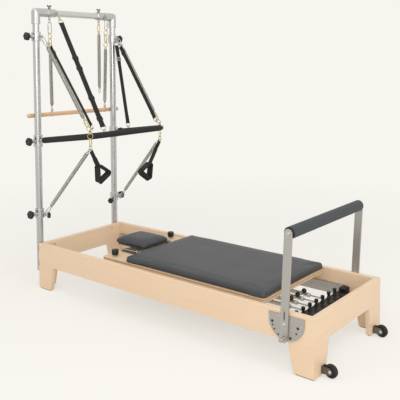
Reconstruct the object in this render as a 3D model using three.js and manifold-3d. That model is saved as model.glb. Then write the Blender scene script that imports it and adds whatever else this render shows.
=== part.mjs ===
// A pilates reformer with a half tower: a wooden sliding-carriage bed with a steel tower at its head end.
// Millimetres. +X points to the foot end, +Z up, and the near rail lies on the -Y side.
import * as THREE from "three";
import { mergeVertices } from "three/addons/utils/BufferGeometryUtils.js";
import Module from "manifold-3d";

const wasm = await Module();
wasm.setup();

// Driving dimensions, lengths in millimetres and angles in degrees.
const gap = 0.3; // between pieces that touch
const overrun = 5; // how far a cutting shape runs past what it cuts
const weld = 0.0005; // vertices closer than this are one

const tubeFacets = 12;
const gripFacets = 16;
const stemFacets = 6;
const barFacets = 10;
const loopFacets = 8;
const bendSteps = 5;
const curlSteps = 6;
const curlSides = 4;

const frame = {
  length: 2316,
  width: 845,
  height: 340,
  board: 35,
  railDepth: 163,
  panelDepth: 152,
  legTop: 165,
  legBottom: 128,
  chamfer: 4,
};
const pad = { height: 6, inset: 9 };
const boltHole = { radius: 7, fromSide: 126.5, fromTop: 31 };

const track = {
  web: 5,
  flange: 25,
  flangeThick: 5,
  fromTop: 86,
  height: 71,
  headEnd: 55,
  footEnd: 210,
  flangeFootEnd: 270,
  hole: 4,
  holePitch: 34.6,
  holeCount: 8,
  lastHole: 222,
};

const upright = { radius: 25, wall: 2.5, fromSide: 37.5, clear: 2.7, bottom: 125, top: 2012 };
const saddle = { width: 84, height: 44, depth: 14, low: 148, high: 40, bolt: 9, boltHead: 8 };
const elbow = { radius: 33, centre: 2054, socket: 85, reach: 95, seat: 60 };
const topCollar = {
  radius: 31,
  length: 80,
  fromUpright: 137,
  wingShank: 5,
  wingRise: 20,
  wingSpan: 15,
  wingThick: 6,
};
const topEye = { underY: -12, frontY: 32, drop: 9, forward: 9, stem: 5 };
const collar = { radius: 34, upper: 1876, middle: 1103, lower: 558, height: 70, middleHeight: 90 };
const boss = { radius: 13, end: 55 };
const knob = {
  nut: 10,
  nutLength: 8,
  stem: 6,
  headStart: 70,
  thick: 26,
  radius: 31,
  lobes: 6,
  lobe: 3,
  chamfer: 3,
};
const innerKnob = { radius: 24, thick: 20, centre: 60, drop: 25, turn: 21, stem: 7 };
const eye = { radius: 9, wire: 3 };
const eyeRod = { radius: 4.5, reach: 70 };
const strapEye = { reach: 46, drop: 24 };

const bar = {
  radius: 22,
  crossX: 574,
  rise: 73,
  bend: 90,
  eyeLift: 7,
  clipFromUpright: 135,
  armEye: 178,
};
const dropLink = { half: 25, side: 9, ring: 14, tuck: 4 };
const hinge = {
  reach: 52,
  barrel: 12,
  pin: 5,
  inner: 14,
  cheek: 5,
  neck: 9,
  start: 20,
  root: 4,
};

const link = { half: 13, side: 9, wire: 2.6 };
const snap = { half: 30, side: 12, wire: 3.4 };
const carabiner = { half: 42, side: 15, wire: 3 };
const ring = { half: 19, side: 19, wire: 3 };
const coil = { radius: 13.5, wire: 2.6, curls: 6 };
const spareCoil = 462; // length of the spare spring's coil
const stubShare = 2; // straight run at each end of a spring, in wire radii
const tallShare = 0.9; // a line steeper than this along an axis is squared up from another

const clip = { half: 14, side: 8, wire: 2.6, along: 62 };
const strap = {
  width: 38,
  thick: 3,
  ring: 17,
  ringWire: 2.8,
  buckle: 7,
  buckleLength: 13,
  rim: 4,
};
const upperBuckleShares = [0.12];
const safetyBuckleShares = [0.33, 0.42, 0.72, 0.9];
const nearTwistShare = 0.35; // how far the near safety strap's width leans out of the cross direction
const farTwistShare = -0.25;
const nearReachShare = -0.28; // how far each upper strap stands off its spring along the bed
const farReachShare = 0.8;
const flatShare = 0.93; // how much of two wires' radii lies between them where their flat sides face
const rollBar = { radius: 16, beyond: 79, z: 1290, y: 17, clear: 2 };
const rollEye = { nearFromUpright: 169, farFromUpright: 55 };

const handle = {
  width: 26,
  thick: 4,
  nearDrop: 145,
  farDrop: 205,
  loopTop: 30,
  loopBottom: 116,
  loopHeight: 132,
  round: 16,
  web: 10,
  grip: 27,
  depth: 34,
  nearTilt: 22,
  farTilt: 35,
};

const carriage = {
  length: 1340,
  fromBar: 138,
  fromSide: 70.5,
  aboveFrame: 3,
  thick: 25,
  corner: 18,
};
const cushion = {
  length: 1119,
  overhang: 5,
  thick: 36,
  crown: 7,
  drawIn: 4,
  edge: 11,
  corner: 26,
};
const post = { radius: 24, height: 37, stem: 8, stemHeight: 9, fromEnd: 66, fromSide: 59 };
const headrest = {
  beyond: 98,
  within: 187,
  width: 262,
  board: 12,
  lift: 17,
  pad: 44,
  drawIn: 5,
  edge: 20,
  crown: 4,
  corner: 30,
};
const cushionRings = [
  { edgeShare: 1 / 3, drawShare: 0, thickShare: 0, crownShare: 0 },
  { edgeShare: 0, drawShare: 0, thickShare: 1 / 6, crownShare: 0 },
  { edgeShare: 0, drawShare: 1, thickShare: 1 / 2, crownShare: 0 },
  { edgeShare: 0.1, drawShare: 0.5, thickShare: 0.84, crownShare: 0 },
  { edgeShare: 0.5, drawShare: 1, thickShare: 0.95, crownShare: 0 },
  { edgeShare: 1, drawShare: 2, thickShare: 1, crownShare: 0 },
  { edgeShare: 4, drawShare: 0, thickShare: 1, crownShare: 0.5 },
  { edgeShare: 9, drawShare: 0, thickShare: 1, crownShare: 1 },
];
const cornerSteps = 4;
const wheelset = {
  roller: 24,
  tread: 16,
  axle: 6,
  fromEnd: 150,
  lug: 12,
  lugHeight: 50,
  lugWidth: 44,
  lugFromSide: 14,
};

const springBar = {
  fromFoot: 220,
  width: 66,
  fromTop: 148,
  thick: 30,
  peg: 10,
  pegHeight: 36,
  pegX: -22,
  bossX: 22,
  bossRadius: 12,
  bossHeight: 8,
  count: 8,
  pitch: 79,
  block: 52,
  blockHeight: 54,
  blockDepth: 42,
};
const barKnob = { radius: 15, x: 22, rise: 10 };
const carriageSpring = {
  fromTop: 102,
  count: 4,
  head: 508,
  foot: 152,
  radius: 12.5,
  wire: 2.6,
  curls: 3,
  anchor: 14,
  anchorLong: 22,
  rod: 4.5,
  tee: 12,
  teeLength: 30,
  ball: 16,
  ballBack: 26,
  ballRise: 20,
};

const quadrant = { radius: 112, skirt: 32, fromFoot: 171, fromTop: 18, thick: 6, holes: 81, holeRadius: 5 };
const quadrantHoleAngles = [182, 197, 214, 239, 295, 331, 355];
const footbar = {
  fromFoot: 179,
  fromTop: 67,
  rise: 503,
  lean: 2.5,
  width: 50,
  thick: 10,
  tail: 81,
  slot: 8,
  slotStart: 20,
  slotEnd: 70,
  pinHole: 3,
  pinHoleX: 9,
  pinHoleZ: 76,
  tube: 12.5,
  grip: 34,
  gripEnd: 8,
  bolt: 11,
  boltHead: 8,
};
const plunger = { pin: 4, body: 11, bodyLength: 18, knob: 13, knobLength: 14 };

const wheel = { radius: 37.5, width: 24, clear: 2.5, fromSide: 91.5, reach: 51, bore: 4.5 };
const bracket = {
  plate: 4,
  side: 1.5,
  height: 40,
  beyond: 12,
  axle: 4,
  head: 8,
  headLength: 5,
};

// Places worked out from the sizes above.
const halfLength = frame.length / 2;
const halfWidth = frame.width / 2;
const legFoot = pad.height + gap;
const towerX = -halfLength - upright.clear - upright.radius;
const uprightY = halfWidth - upright.fromSide;
const topCollarY = uprightY - topCollar.fromUpright;
const trackTop = frame.height - track.fromTop;
const springBarX = halfLength - springBar.fromFoot;
const springBarZ = frame.height - springBar.fromTop;
const carriageFoot = springBarX - carriage.fromBar;
const carriageHead = carriageFoot - carriage.length;
const carriageY = halfWidth - carriage.fromSide;
const carriageTop = frame.height + carriage.aboveFrame;
const pivotX = halfLength - footbar.fromFoot;
const pivotZ = frame.height - footbar.fromTop;
const plateX = halfLength - quadrant.fromFoot;
const plateTop = frame.height - quadrant.fromTop;
const innerY = halfWidth - frame.board;
const trackY = innerY - gap;
const rollBarX = towerX - upright.radius - rollBar.clear - rollBar.radius;
const wheelX = halfLength + wheel.reach;
const wheelZ = wheel.radius + wheel.clear;
const headLimit = rollBarX - rollBar.radius;
const footLimit = wheelX + wheel.radius;
const centreX = (headLimit + footLimit) / 2;
const barCross = new THREE.Vector3(towerX + bar.crossX, 0, collar.middle + bar.rise);
const barPivot = new THREE.Vector3(
  towerX + hinge.reach,
  0,
  collar.middle + (bar.rise * hinge.reach) / bar.crossX,
);
const farStrapEye = new THREE.Vector3(
  towerX + strapEye.reach,
  uprightY,
  collar.upper - strapEye.drop,
);
const sides = { near: -1, far: 1 };

const colour = {
  maple: 0xe4c49c,
  steel: 0xc9c9c6,
  brushed: 0xb3aea8,
  black: 0x1c1c1c,
  grip: 0x3c424a,
  vinyl: 0x5c5f64,
  zinc: 0xc2b47e,
  beech: 0xd9a066,
  dark: 0x3a332c,
  aluminium: 0xa9a6a0,
};

const X = new THREE.Vector3(1, 0, 0);
const Y = new THREE.Vector3(0, 1, 0);
const Z = new THREE.Vector3(0, 0, 1);
const at = (x, y, z) => new THREE.Vector3(x, y, z);
const radians = THREE.MathUtils.degToRad;

function finish(hex, roughness, metalness) {
  return new THREE.MeshStandardMaterial({ color: hex, roughness, metalness });
}
const finishes = {
  wood: () => finish(colour.maple, 0.55, 0),
  beech: () => finish(colour.beech, 0.5, 0),
  steel: () => finish(colour.steel, 0.25, 1),
  brushed: () => finish(colour.brushed, 0.4, 1),
  aluminium: () => finish(colour.aluminium, 0.45, 1),
  zinc: () => finish(colour.zinc, 0.4, 1),
  plastic: () => finish(colour.black, 0.4, 0),
  rubber: () => finish(colour.black, 0.8, 0),
  webbing: () => finish(colour.black, 0.9, 0),
  foam: () => finish(colour.grip, 0.85, 0),
  vinyl: () => finish(colour.vinyl, 0.5, 0),
  dark: () => finish(colour.dark, 0.5, 0.8),
};

// Solids and booleans.
function merged(geometry) {
  const bare = geometry.clone();
  bare.deleteAttribute("normal");
  bare.deleteAttribute("uv");
  return mergeVertices(bare, weld);
}

function solid(geometry) {
  const g = merged(geometry);
  return new wasm.Manifold(
    new wasm.Mesh({
      numProp: 3,
      vertProperties: g.attributes.position.array,
      triVerts: new Uint32Array(g.index.array),
    }),
  );
}

function geometryOf(body) {
  const mesh = body.getMesh();
  const geometry = new THREE.BufferGeometry();
  geometry.setAttribute("position", new THREE.BufferAttribute(mesh.vertProperties, mesh.numProp));
  geometry.setIndex(new THREE.BufferAttribute(mesh.triVerts, 1));
  geometry.computeVertexNormals();
  return geometry;
}

function join(pieces) {
  return geometryOf(pieces.map(solid).reduce((whole, piece) => whole.add(piece)));
}

function cut(body, tools) {
  return geometryOf(tools.map(solid).reduce((left, tool) => left.subtract(tool), solid(body)));
}

// Simple shapes.
// Radius of a faceted bore that a round piece of the given radius can turn in.
function runningBore(radius, facets = loopFacets) {
  return (radius + gap) / Math.cos(Math.PI / facets);
}

function box(size, centre) {
  return new THREE.BoxGeometry(size.x, size.y, size.z).translate(centre.x, centre.y, centre.z);
}

// The box between two opposite corners.
function boxBetween(corner, opposite) {
  const low = corner.clone().min(opposite);
  const high = corner.clone().max(opposite);
  return box(high.clone().sub(low), low.clone().lerp(high, 0.5));
}

function roundHole(x, y, radius) {
  return new THREE.Path().absarc(x, y, radius, 0, 2 * Math.PI);
}

function extruded(shape, depth) {
  return new THREE.ExtrudeGeometry(shape, { depth, bevelEnabled: false, curveSegments: cornerSteps });
}

function rod(radius, from, to, facets = loopFacets) {
  const span = to.clone().sub(from);
  const turn = new THREE.Quaternion().setFromUnitVectors(Y, span.clone().normalize());
  const middle = from.clone().lerp(to, 0.5);
  return new THREE.CylinderGeometry(radius, radius, span.length(), facets)
    .applyQuaternion(turn)
    .translate(middle.x, middle.y, middle.z);
}

function ball(radius, centre, facets = loopFacets) {
  const round = new THREE.SphereGeometry(radius, facets, facets / 2);
  return round.translate(centre.x, centre.y, centre.z);
}

// A link round its centre: half is its half length along one way, side its half width across it.
// It has eight straight runs, with one square across each end and one along each side.
function loop(size, centre, along, normal) {
  const across = normal.clone().cross(along).normalize();
  const turned = new THREE.Matrix4().makeBasis(along, across, along.clone().cross(across));
  const eighth = Math.PI / loopFacets;
  const wound = new THREE.TorusGeometry(size.side / Math.cos(eighth), size.wire, curlSides, loopFacets);
  wound.rotateZ(eighth);
  const position = wound.attributes.position;
  for (let i = 0; i < position.count; i++) {
    const x = position.getX(i);
    position.setX(i, x + Math.sign(x) * (size.half - size.side));
  }
  return wound.applyMatrix4(turned).translate(centre.x, centre.y, centre.z);
}

// A section pulled along a list of points, with a ring of the section at each point.
class Route extends THREE.Curve {
  constructor(points) {
    super();
    this.points = points;
  }
  getPoint(share) {
    const place = share * (this.points.length - 1);
    const index = Math.min(Math.floor(place), this.points.length - 2);
    return this.points[index].clone().lerp(this.points[index + 1], place - index);
  }
  getPointAt(share) {
    return this.getPoint(share);
  }
  getTangentAt(share) {
    const index = Math.round(share * (this.points.length - 1));
    const before = this.points[Math.max(index - 1, 0)];
    const after = this.points[Math.min(index + 1, this.points.length - 1)];
    return after.clone().sub(before).normalize();
  }
}

function roundSection(radius, facets) {
  const points = [];
  for (let i = 0; i < facets; i++) {
    const angle = (i / facets) * 2 * Math.PI;
    points.push(new THREE.Vector2(radius * Math.cos(angle), radius * Math.sin(angle)));
  }
  return new THREE.Shape(points);
}

function tubeThrough(points, radius, facets) {
  return new THREE.ExtrudeGeometry(roundSection(radius, facets), {
    steps: points.length - 1,
    extrudePath: new Route(points),
    bevelEnabled: false,
  });
}

function arc(centre, from, to, radius, steps) {
  const points = [];
  for (let i = 0; i <= steps; i++) {
    const angle = (i / steps) * (Math.PI / 2);
    points.push(
      centre
        .clone()
        .addScaledVector(from, radius * Math.cos(angle))
        .addScaledVector(to, radius * Math.sin(angle)),
    );
  }
  return points;
}

// The centre line of a spring from one end of its axis to the other, straight at both ends.
function coilPoints(start, end, size) {
  const along = end.clone().sub(start).normalize();
  const square = Math.abs(along.y) < tallShare ? Y : X;
  const aside = square.clone().cross(along).normalize();
  const other = along.clone().cross(aside);
  const stub = stubShare * size.wire;
  const wound = start.distanceTo(end) - 2 * stub;
  const steps = curlSteps * size.curls;
  const points = [start.clone()];
  for (let i = 0; i <= steps; i++) {
    const fromEnd = Math.min(i, steps - i);
    const radius = size.radius * Math.min(1, (2 * fromEnd) / curlSteps);
    const angle = (i / curlSteps) * 2 * Math.PI;
    points.push(
      start
        .clone()
        .addScaledVector(along, stub + (wound * i) / steps)
        .addScaledVector(aside, radius * Math.cos(angle))
        .addScaledVector(other, radius * Math.sin(angle)),
    );
  }
  points.push(end.clone());
  return points;
}

function leastGap(points, wire) {
  let least = Infinity;
  for (let i = 0; i < points.length; i++) {
    for (let j = i + curlSteps / 2 + 1; j < points.length; j++) {
      least = Math.min(least, points[i].distanceTo(points[j]));
    }
  }
  return least - 2 * wire;
}

function coilBetween(name, start, end, size) {
  const points = coilPoints(start, end, size);
  console.log(`${name}: least gap to itself ${leastGap(points, size.wire).toFixed(1)} mm`);
  return tubeThrough(points, size.wire, curlSides);
}

// A row of links that starts inside an eye, with the small gap between the eye and the first link.
function chainFrom(from, along, links, eyeSize) {
  const flat = from.normal.clone().addScaledVector(along, -from.normal.dot(along)).normalize();
  const turned = along.clone().cross(flat);
  const pieces = [];
  let place = eyeSize.radius - eyeSize.wire - links[0].wire - gap;
  links.forEach((size, index) => {
    place += size.half;
    const centre = from.at.clone().addScaledVector(along, place);
    pieces.push(loop(size, centre, along.clone().negate(), index % 2 === 0 ? turned : flat));
    place += size.half;
  });
  return { pieces, end: from.at.clone().addScaledVector(along, place) };
}

// A spring between two eyes: a row of links at each end with the coil between them.
function hungSpring(name, firstEye, lastEye, firstLinks, lastLinks, lastEyeSize = eye) {
  const along = lastEye.at.clone().sub(firstEye.at).normalize();
  const first = chainFrom(firstEye, along, firstLinks, eye);
  const last = chainFrom(lastEye, along.clone().negate(), lastLinks, lastEyeSize);
  const wound = coilBetween(name, first.end, last.end, coil);
  return join([wound, ...first.pieces, ...last.pieces]);
}

function eyeLoop(centre, along, normal, size = eye) {
  return loop({ half: size.radius, side: size.radius, wire: size.wire }, centre, along, normal);
}

// Wooden frame.
function boardOutline(length, depth) {
  const half = length / 2;
  const low = frame.height - depth;
  const outline = new THREE.Shape();
  outline.moveTo(-half, legFoot);
  outline.lineTo(-half + frame.legBottom, legFoot);
  outline.lineTo(-half + frame.legTop, low);
  outline.lineTo(half - frame.legTop, low);
  outline.lineTo(half - frame.legBottom, legFoot);
  outline.lineTo(half, legFoot);
  outline.lineTo(half, frame.height);
  outline.lineTo(-half, frame.height);
  outline.closePath();
  return outline;
}

function board(length, depth) {
  const bevel = frame.chamfer;
  const raw = new THREE.ExtrudeGeometry(boardOutline(length, depth), {
    depth: frame.board - 2 * bevel,
    bevelEnabled: true,
    bevelThickness: bevel,
    bevelSize: bevel,
    bevelOffset: -bevel,
    bevelSegments: 2,
  });
  return raw.rotateX(Math.PI / 2).translate(0, frame.board - bevel, 0);
}

// Takes the 45 degree corners off both ends of a board that lies from y = 0 outside to its thickness inside.
function mitred(geometry, length) {
  const half = length / 2 - gap / 2;
  const reach = frame.board + overrun;
  const wedges = [-1, 1].map((end) => {
    const plan = new THREE.Shape();
    plan.moveTo(end * (half + overrun), -overrun);
    plan.lineTo(end * (half - reach), reach);
    plan.lineTo(end * (half + overrun + reach), reach);
    plan.closePath();
    return new THREE.ExtrudeGeometry(plan, {
      depth: frame.height + 2 * overrun,
      bevelEnabled: false,
    }).translate(0, 0, -overrun);
  });
  return cut(geometry, wedges);
}

function sideRail(side) {
  const rail = mitred(board(frame.length, frame.railDepth), frame.length);
  return rail.rotateZ(side > 0 ? Math.PI : 0).translate(0, side * halfWidth, 0);
}

function endPanel(end) {
  const panel = mitred(board(frame.width, frame.panelDepth), frame.width);
  return panel.rotateZ((end * Math.PI) / 2).translate(end * halfLength, 0, 0);
}

function headPanel() {
  const x = -halfLength;
  const boltZ = frame.height - boltHole.fromTop;
  const holes = Object.values(sides).map((side) =>
    rod(
      boltHole.radius,
      at(x - overrun, side * (halfWidth - boltHole.fromSide), boltZ),
      at(x + frame.board + overrun, side * (halfWidth - boltHole.fromSide), boltZ),
    ),
  );
  return cut(endPanel(-1), holes);
}

function footPad(end, side) {
  const outer = frame.legBottom - pad.inset;
  const plan = new THREE.Shape();
  plan.moveTo(pad.inset, pad.inset);
  plan.lineTo(outer, pad.inset);
  plan.lineTo(outer, frame.board - pad.inset);
  plan.lineTo(frame.board - pad.inset, frame.board - pad.inset);
  plan.lineTo(frame.board - pad.inset, outer);
  plan.lineTo(pad.inset, outer);
  plan.closePath();
  const block = new THREE.ExtrudeGeometry(plan, { depth: pad.height, bevelEnabled: false });
  const turn = Math.atan2(side, end) - Math.atan2(-1, -1);
  return block.rotateZ(turn).translate(end * halfLength, side * halfWidth, 0);
}

function trackSection(side) {
  const start = -halfLength + track.headEnd;
  const outer = side * trackY;
  const web = boxBetween(
    at(start, outer - side * track.web, trackTop - track.height),
    at(halfLength - track.footEnd, outer, trackTop),
  );
  const flange = boxBetween(
    at(start, outer - side * track.flange, trackTop - track.flangeThick),
    at(halfLength - track.flangeFootEnd, outer, trackTop),
  );
  const z = trackTop - track.height / 2;
  const inside = outer - side * (track.web + overrun);
  const outside = outer + side * overrun;
  const holes = [];
  for (let i = 0; i < track.holeCount; i++) {
    const x = halfLength - track.lastHole - i * track.holePitch;
    holes.push(rod(track.hole, at(x, inside, z), at(x, outside, z), stemFacets));
  }
  return cut(join([web, flange]), holes);
}

// Tower.
function uprightTube() {
  const inner = upright.radius - upright.wall;
  const back = upright.radius + upright.clear - gap;
  const half = saddle.height / 2;
  const pieces = [rod(upright.radius, at(0, 0, upright.bottom), at(0, 0, upright.top), tubeFacets)];
  [saddle.low, saddle.high].forEach((fromTop) => {
    const z = frame.height - fromTop;
    const low = at(back - saddle.depth, -saddle.width / 2, z - half);
    pieces.push(boxBetween(low, at(back, saddle.width / 2, z + half)));
    const tip = at(-upright.radius - saddle.boltHead, 0, z);
    pieces.push(rod(saddle.bolt, tip, at(-inner, 0, z), stemFacets));
  });
  const bore = [at(0, 0, upright.bottom - overrun), at(0, 0, upright.top + overrun)];
  return cut(join(pieces), [rod(inner, ...bore, tubeFacets)]);
}

function elbowFitting(side) {
  const centre = at(0, 0, elbow.centre);
  const inward = -side;
  const foot = elbow.centre - elbow.socket;
  const bore = upright.radius + gap;
  const vertical = rod(elbow.radius, at(0, 0, foot), centre, tubeFacets);
  const level = rod(elbow.radius, centre, centre.clone().setY(inward * elbow.reach), tubeFacets);
  const seat = centre.clone().setY(inward * elbow.seat);
  const mouth = centre.clone().setY(inward * (elbow.reach + overrun));
  const bores = [
    rod(bore, at(0, 0, foot - overrun), at(0, 0, upright.top + gap), tubeFacets),
    rod(bore, seat, mouth, tubeFacets),
  ];
  return cut(join([vertical, level, ball(elbow.radius, centre, tubeFacets)]), bores);
}

function topTube() {
  const half = uprightY - elbow.seat - gap;
  return rod(upright.radius, at(0, -half, elbow.centre), at(0, half, elbow.centre), tubeFacets);
}

// The wing screw that clamps a top collar.
function wingScrew() {
  const wall = (topCollar.radius - upright.radius) / 2;
  const foot = elbow.centre + upright.radius + wall;
  const wingZ = elbow.centre + topCollar.radius + topCollar.wingRise;
  const wings = boxBetween(
    at(-topCollar.wingThick / 2, topEye.underY - topCollar.wingSpan, wingZ - topCollar.wingThick),
    at(topCollar.wingThick / 2, topEye.underY + topCollar.wingSpan, wingZ + topCollar.wingThick),
  );
  const shank = rod(
    topCollar.wingShank,
    at(0, topEye.underY, foot),
    at(0, topEye.underY, wingZ),
    stemFacets,
  );
  return [shank, wings];
}

function topCollarSleeve() {
  const half = topCollar.length / 2;
  const z = elbow.centre;
  const outer = rod(topCollar.radius, at(0, -half, z), at(0, half, z), tubeFacets);
  const bore = rod(
    upright.radius + gap,
    at(0, -half - overrun, z),
    at(0, half + overrun, z),
    tubeFacets,
  );
  const under = at(0, topEye.underY, z - topCollar.radius - topEye.drop);
  const front = at(topCollar.radius + topEye.forward, topEye.frontY, z);
  const wall = upright.radius + 2 * gap;
  const underTip = under.clone().setZ(under.z + eye.radius);
  const frontTip = front.clone().setX(front.x - eye.radius);
  const down = Z.clone().negate();
  return join([
    cut(outer, [bore]),
    ...wingScrew(),
    rod(topEye.stem, underTip, at(0, topEye.underY, z - wall), stemFacets),
    rod(topEye.stem, frontTip, at(wall, topEye.frontY, z), stemFacets),
    eyeLoop(under, down, X),
    eyeLoop(front, down, Y),
  ]);
}

function towerCollar(centreZ, height, side, extras) {
  const low = centreZ - height / 2;
  const high = centreZ + height / 2;
  const outer = rod(collar.radius, at(0, 0, low), at(0, 0, high), tubeFacets);
  const bore = rod(
    upright.radius + gap,
    at(0, 0, low - overrun),
    at(0, 0, high + overrun),
    tubeFacets,
  );
  const bossRod = rod(
    boss.radius,
    at(0, side * (upright.radius + 2 * gap), centreZ),
    at(0, side * boss.end, centreZ),
  );
  return join([cut(outer, [bore]), bossRod, ...extras]);
}

function frontEye(eyeCentre, along) {
  const z = eyeCentre.z - along.z * eye.radius;
  const root = at(upright.radius + 2 * gap, 0, z);
  const tip = at(eyeCentre.x - eye.radius * Math.abs(along.x) - eye.wire, 0, z);
  return [rod(eyeRod.radius, root, tip, stemFacets), eyeLoop(eyeCentre, along, Y)];
}

// Two cheeks and a pin on the front of a collar, for a barrel to turn between.
function hingeCheeks() {
  const z = barPivot.z;
  const outer = hinge.inner + hinge.cheek;
  const cheeks = [-1, 1].map((way) =>
    boxBetween(
      at(collar.radius - hinge.root, way * hinge.inner, z - hinge.barrel),
      at(hinge.reach + hinge.barrel, way * outer, z + hinge.barrel),
    ),
  );
  const pinEnd = outer + hinge.root;
  return [...cheeks, rod(hinge.pin, at(hinge.reach, -pinEnd, z), at(hinge.reach, pinEnd, z))];
}

// A lobed hand knob whose flat back is at z = 0.
function starHead(radius, thick, lobe) {
  const outline = [];
  const count = 2 * knob.lobes;
  for (let i = 0; i < count; i++) {
    const angle = (i / count) * 2 * Math.PI;
    const reach = radius - knob.chamfer - (lobe * (1 - Math.cos(knob.lobes * angle))) / 2;
    outline.push(new THREE.Vector2(reach * Math.cos(angle), reach * Math.sin(angle)));
  }
  return new THREE.ExtrudeGeometry(new THREE.Shape(outline), {
    depth: thick - 2 * knob.chamfer,
    bevelEnabled: true,
    bevelThickness: knob.chamfer,
    bevelSize: knob.chamfer,
    bevelSegments: 1,
  }).translate(0, 0, knob.chamfer);
}

function clampKnob() {
  const start = boss.end + gap;
  return join([
    rod(knob.nut, at(0, 0, start), at(0, 0, start + knob.nutLength), stemFacets),
    rod(knob.stem, at(0, 0, start), at(0, 0, knob.headStart + knob.chamfer), stemFacets),
    starHead(knob.radius, knob.thick, knob.lobe).translate(0, 0, knob.headStart),
  ]);
}

function sideInnerKnob(side) {
  const turn = radians(innerKnob.turn);
  const z = collar.lower - innerKnob.drop;
  const out = at(Math.sin(turn), -side * Math.cos(turn), 0);
  const head = starHead(innerKnob.radius, innerKnob.thick, knob.lobe)
    .applyQuaternion(new THREE.Quaternion().setFromUnitVectors(Z, out))
    .translate(out.x * innerKnob.centre, out.y * innerKnob.centre, z);
  const root = out.clone().multiplyScalar(upright.radius + 2 * gap).setZ(z);
  const tip = out.clone().multiplyScalar(innerKnob.centre + innerKnob.thick / 2).setZ(z);
  return [head, rod(innerKnob.stem, root, tip, stemFacets)];
}

// Push-through bar: a U of padded tube hinged on the middle collars.
const barEye = {
  upper: (side) => bendPoint(side).setZ(barCross.z + bar.radius + bar.eyeLift),
  drop: (side) => bendPoint(side).setZ(barCross.z - bar.radius - 2 * dropLink.half - dropLink.ring),
  clip: (side) => at(barCross.x, side * (uprightY - bar.clipFromUpright), barCross.z + bar.radius + bar.eyeLift),
};

function bendPoint(side) {
  const back = bar.bend * (1 - Math.SQRT1_2);
  return at(barCross.x - back, side * (uprightY - back), barCross.z);
}

// An eye's place on top of the far arm, this far out from the tower.
function armPoint(fromTower) {
  const rise = (fromTower / bar.crossX) * bar.rise;
  const lift = bar.radius + bar.eyeLift;
  return at(towerX + fromTower, uprightY, collar.middle + rise + lift);
}

// The bar's centre line: straight out from one hinge, round two bends and back to the other.
function barLine(out) {
  const start = barPivot.clone().addScaledVector(out, hinge.start);
  const corner = barCross.clone().addScaledVector(out, -bar.bend);
  const bend = uprightY - bar.bend;
  return [
    start.clone().setY(-uprightY),
    ...arc(corner.clone().setY(-bend), Y.clone().negate(), out, bar.bend, bendSteps),
    ...arc(corner.clone().setY(bend), out, Y, bar.bend, bendSteps),
    start.clone().setY(uprightY),
  ];
}

// The barrel that turns on a collar's pin, with the neck that carries the bar.
function barHub(side, out) {
  const root = barPivot.clone().setY(side * uprightY);
  const half = at(0, hinge.inner - gap, 0);
  const past = at(0, hinge.inner + overrun, 0);
  const barrel = rod(hinge.barrel, root.clone().sub(half), root.clone().add(half));
  const bore = rod(runningBore(hinge.pin), root.clone().sub(past), root.clone().add(past));
  const neckFrom = root.clone().addScaledVector(out, hinge.barrel - hinge.root / 2);
  const neckTo = root.clone().addScaledVector(out, hinge.start + hinge.root);
  return [cut(barrel, [bore]), rod(hinge.neck, neckFrom, neckTo)];
}

function pushBar() {
  const out = barCross.clone().sub(barPivot).normalize();
  const pieces = [tubeThrough(barLine(out), bar.radius, barFacets)];
  Object.values(sides).forEach((side) => {
    pieces.push(...barHub(side, out), ...dropChain(side), eyeLoop(barEye.upper(side), Z, Y));
  });
  pieces.push(eyeLoop(barEye.clip(-1), Z, Y), eyeLoop(armPoint(bar.armEye), Z, Y));
  return join(pieces);
}

function dropChain(side) {
  const top = bendPoint(side);
  const down = Z.clone().negate();
  const linkSize = { half: dropLink.half, side: dropLink.side, wire: eye.wire };
  const hang = top.clone().setZ(barCross.z - bar.radius - dropLink.half + dropLink.tuck / 2);
  const ringCentre = barEye.drop(side);
  const ringSize = { half: dropLink.ring, side: dropLink.ring, wire: eye.wire };
  return [loop(linkSize, hang, down, X), loop(ringSize, ringCentre, down, Y)];
}

const dropRing = { radius: dropLink.ring, wire: eye.wire };

// Spring ends, in the whole part's frame.
const springLine = {
  upper: (side) => ({
    from: at(towerX + eyeRod.reach, side * uprightY, collar.upper),
    to: barEye.upper(side),
  }),
  lower: (side) => ({
    from: at(towerX + eyeRod.reach, side * uprightY, collar.lower),
    to: barEye.drop(side),
  }),
};

function along(line) {
  return line.to.clone().sub(line.from).normalize();
}

function upperSpring(name, side) {
  const { from, to } = springLine.upper(side);
  const ends = [from, to].map((place) => ({ at: place, normal: Y }));
  return hungSpring(name, ...ends, [carabiner], [ring, snap]);
}

function lowerSpring(name, side) {
  const { from, to } = springLine.lower(side);
  const ends = [from, to].map((place) => ({ at: place, normal: Y }));
  return hungSpring(name, ...ends, [carabiner], [link], dropRing);
}

// A flat band from one place to another, its width laid as near as it can be to one way.
function ribbon(from, to, widthWay, width, thick) {
  const way = to.clone().sub(from);
  const length = way.length();
  way.normalize();
  const across = widthWay.clone().addScaledVector(way, -widthWay.dot(way)).normalize();
  const turn = new THREE.Matrix4().makeBasis(way, across, way.clone().cross(across));
  const middle = from.clone().lerp(to, 0.5);
  const band = new THREE.BoxGeometry(length, width, thick).applyMatrix4(turn);
  return band.translate(middle.x, middle.y, middle.z);
}

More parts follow.
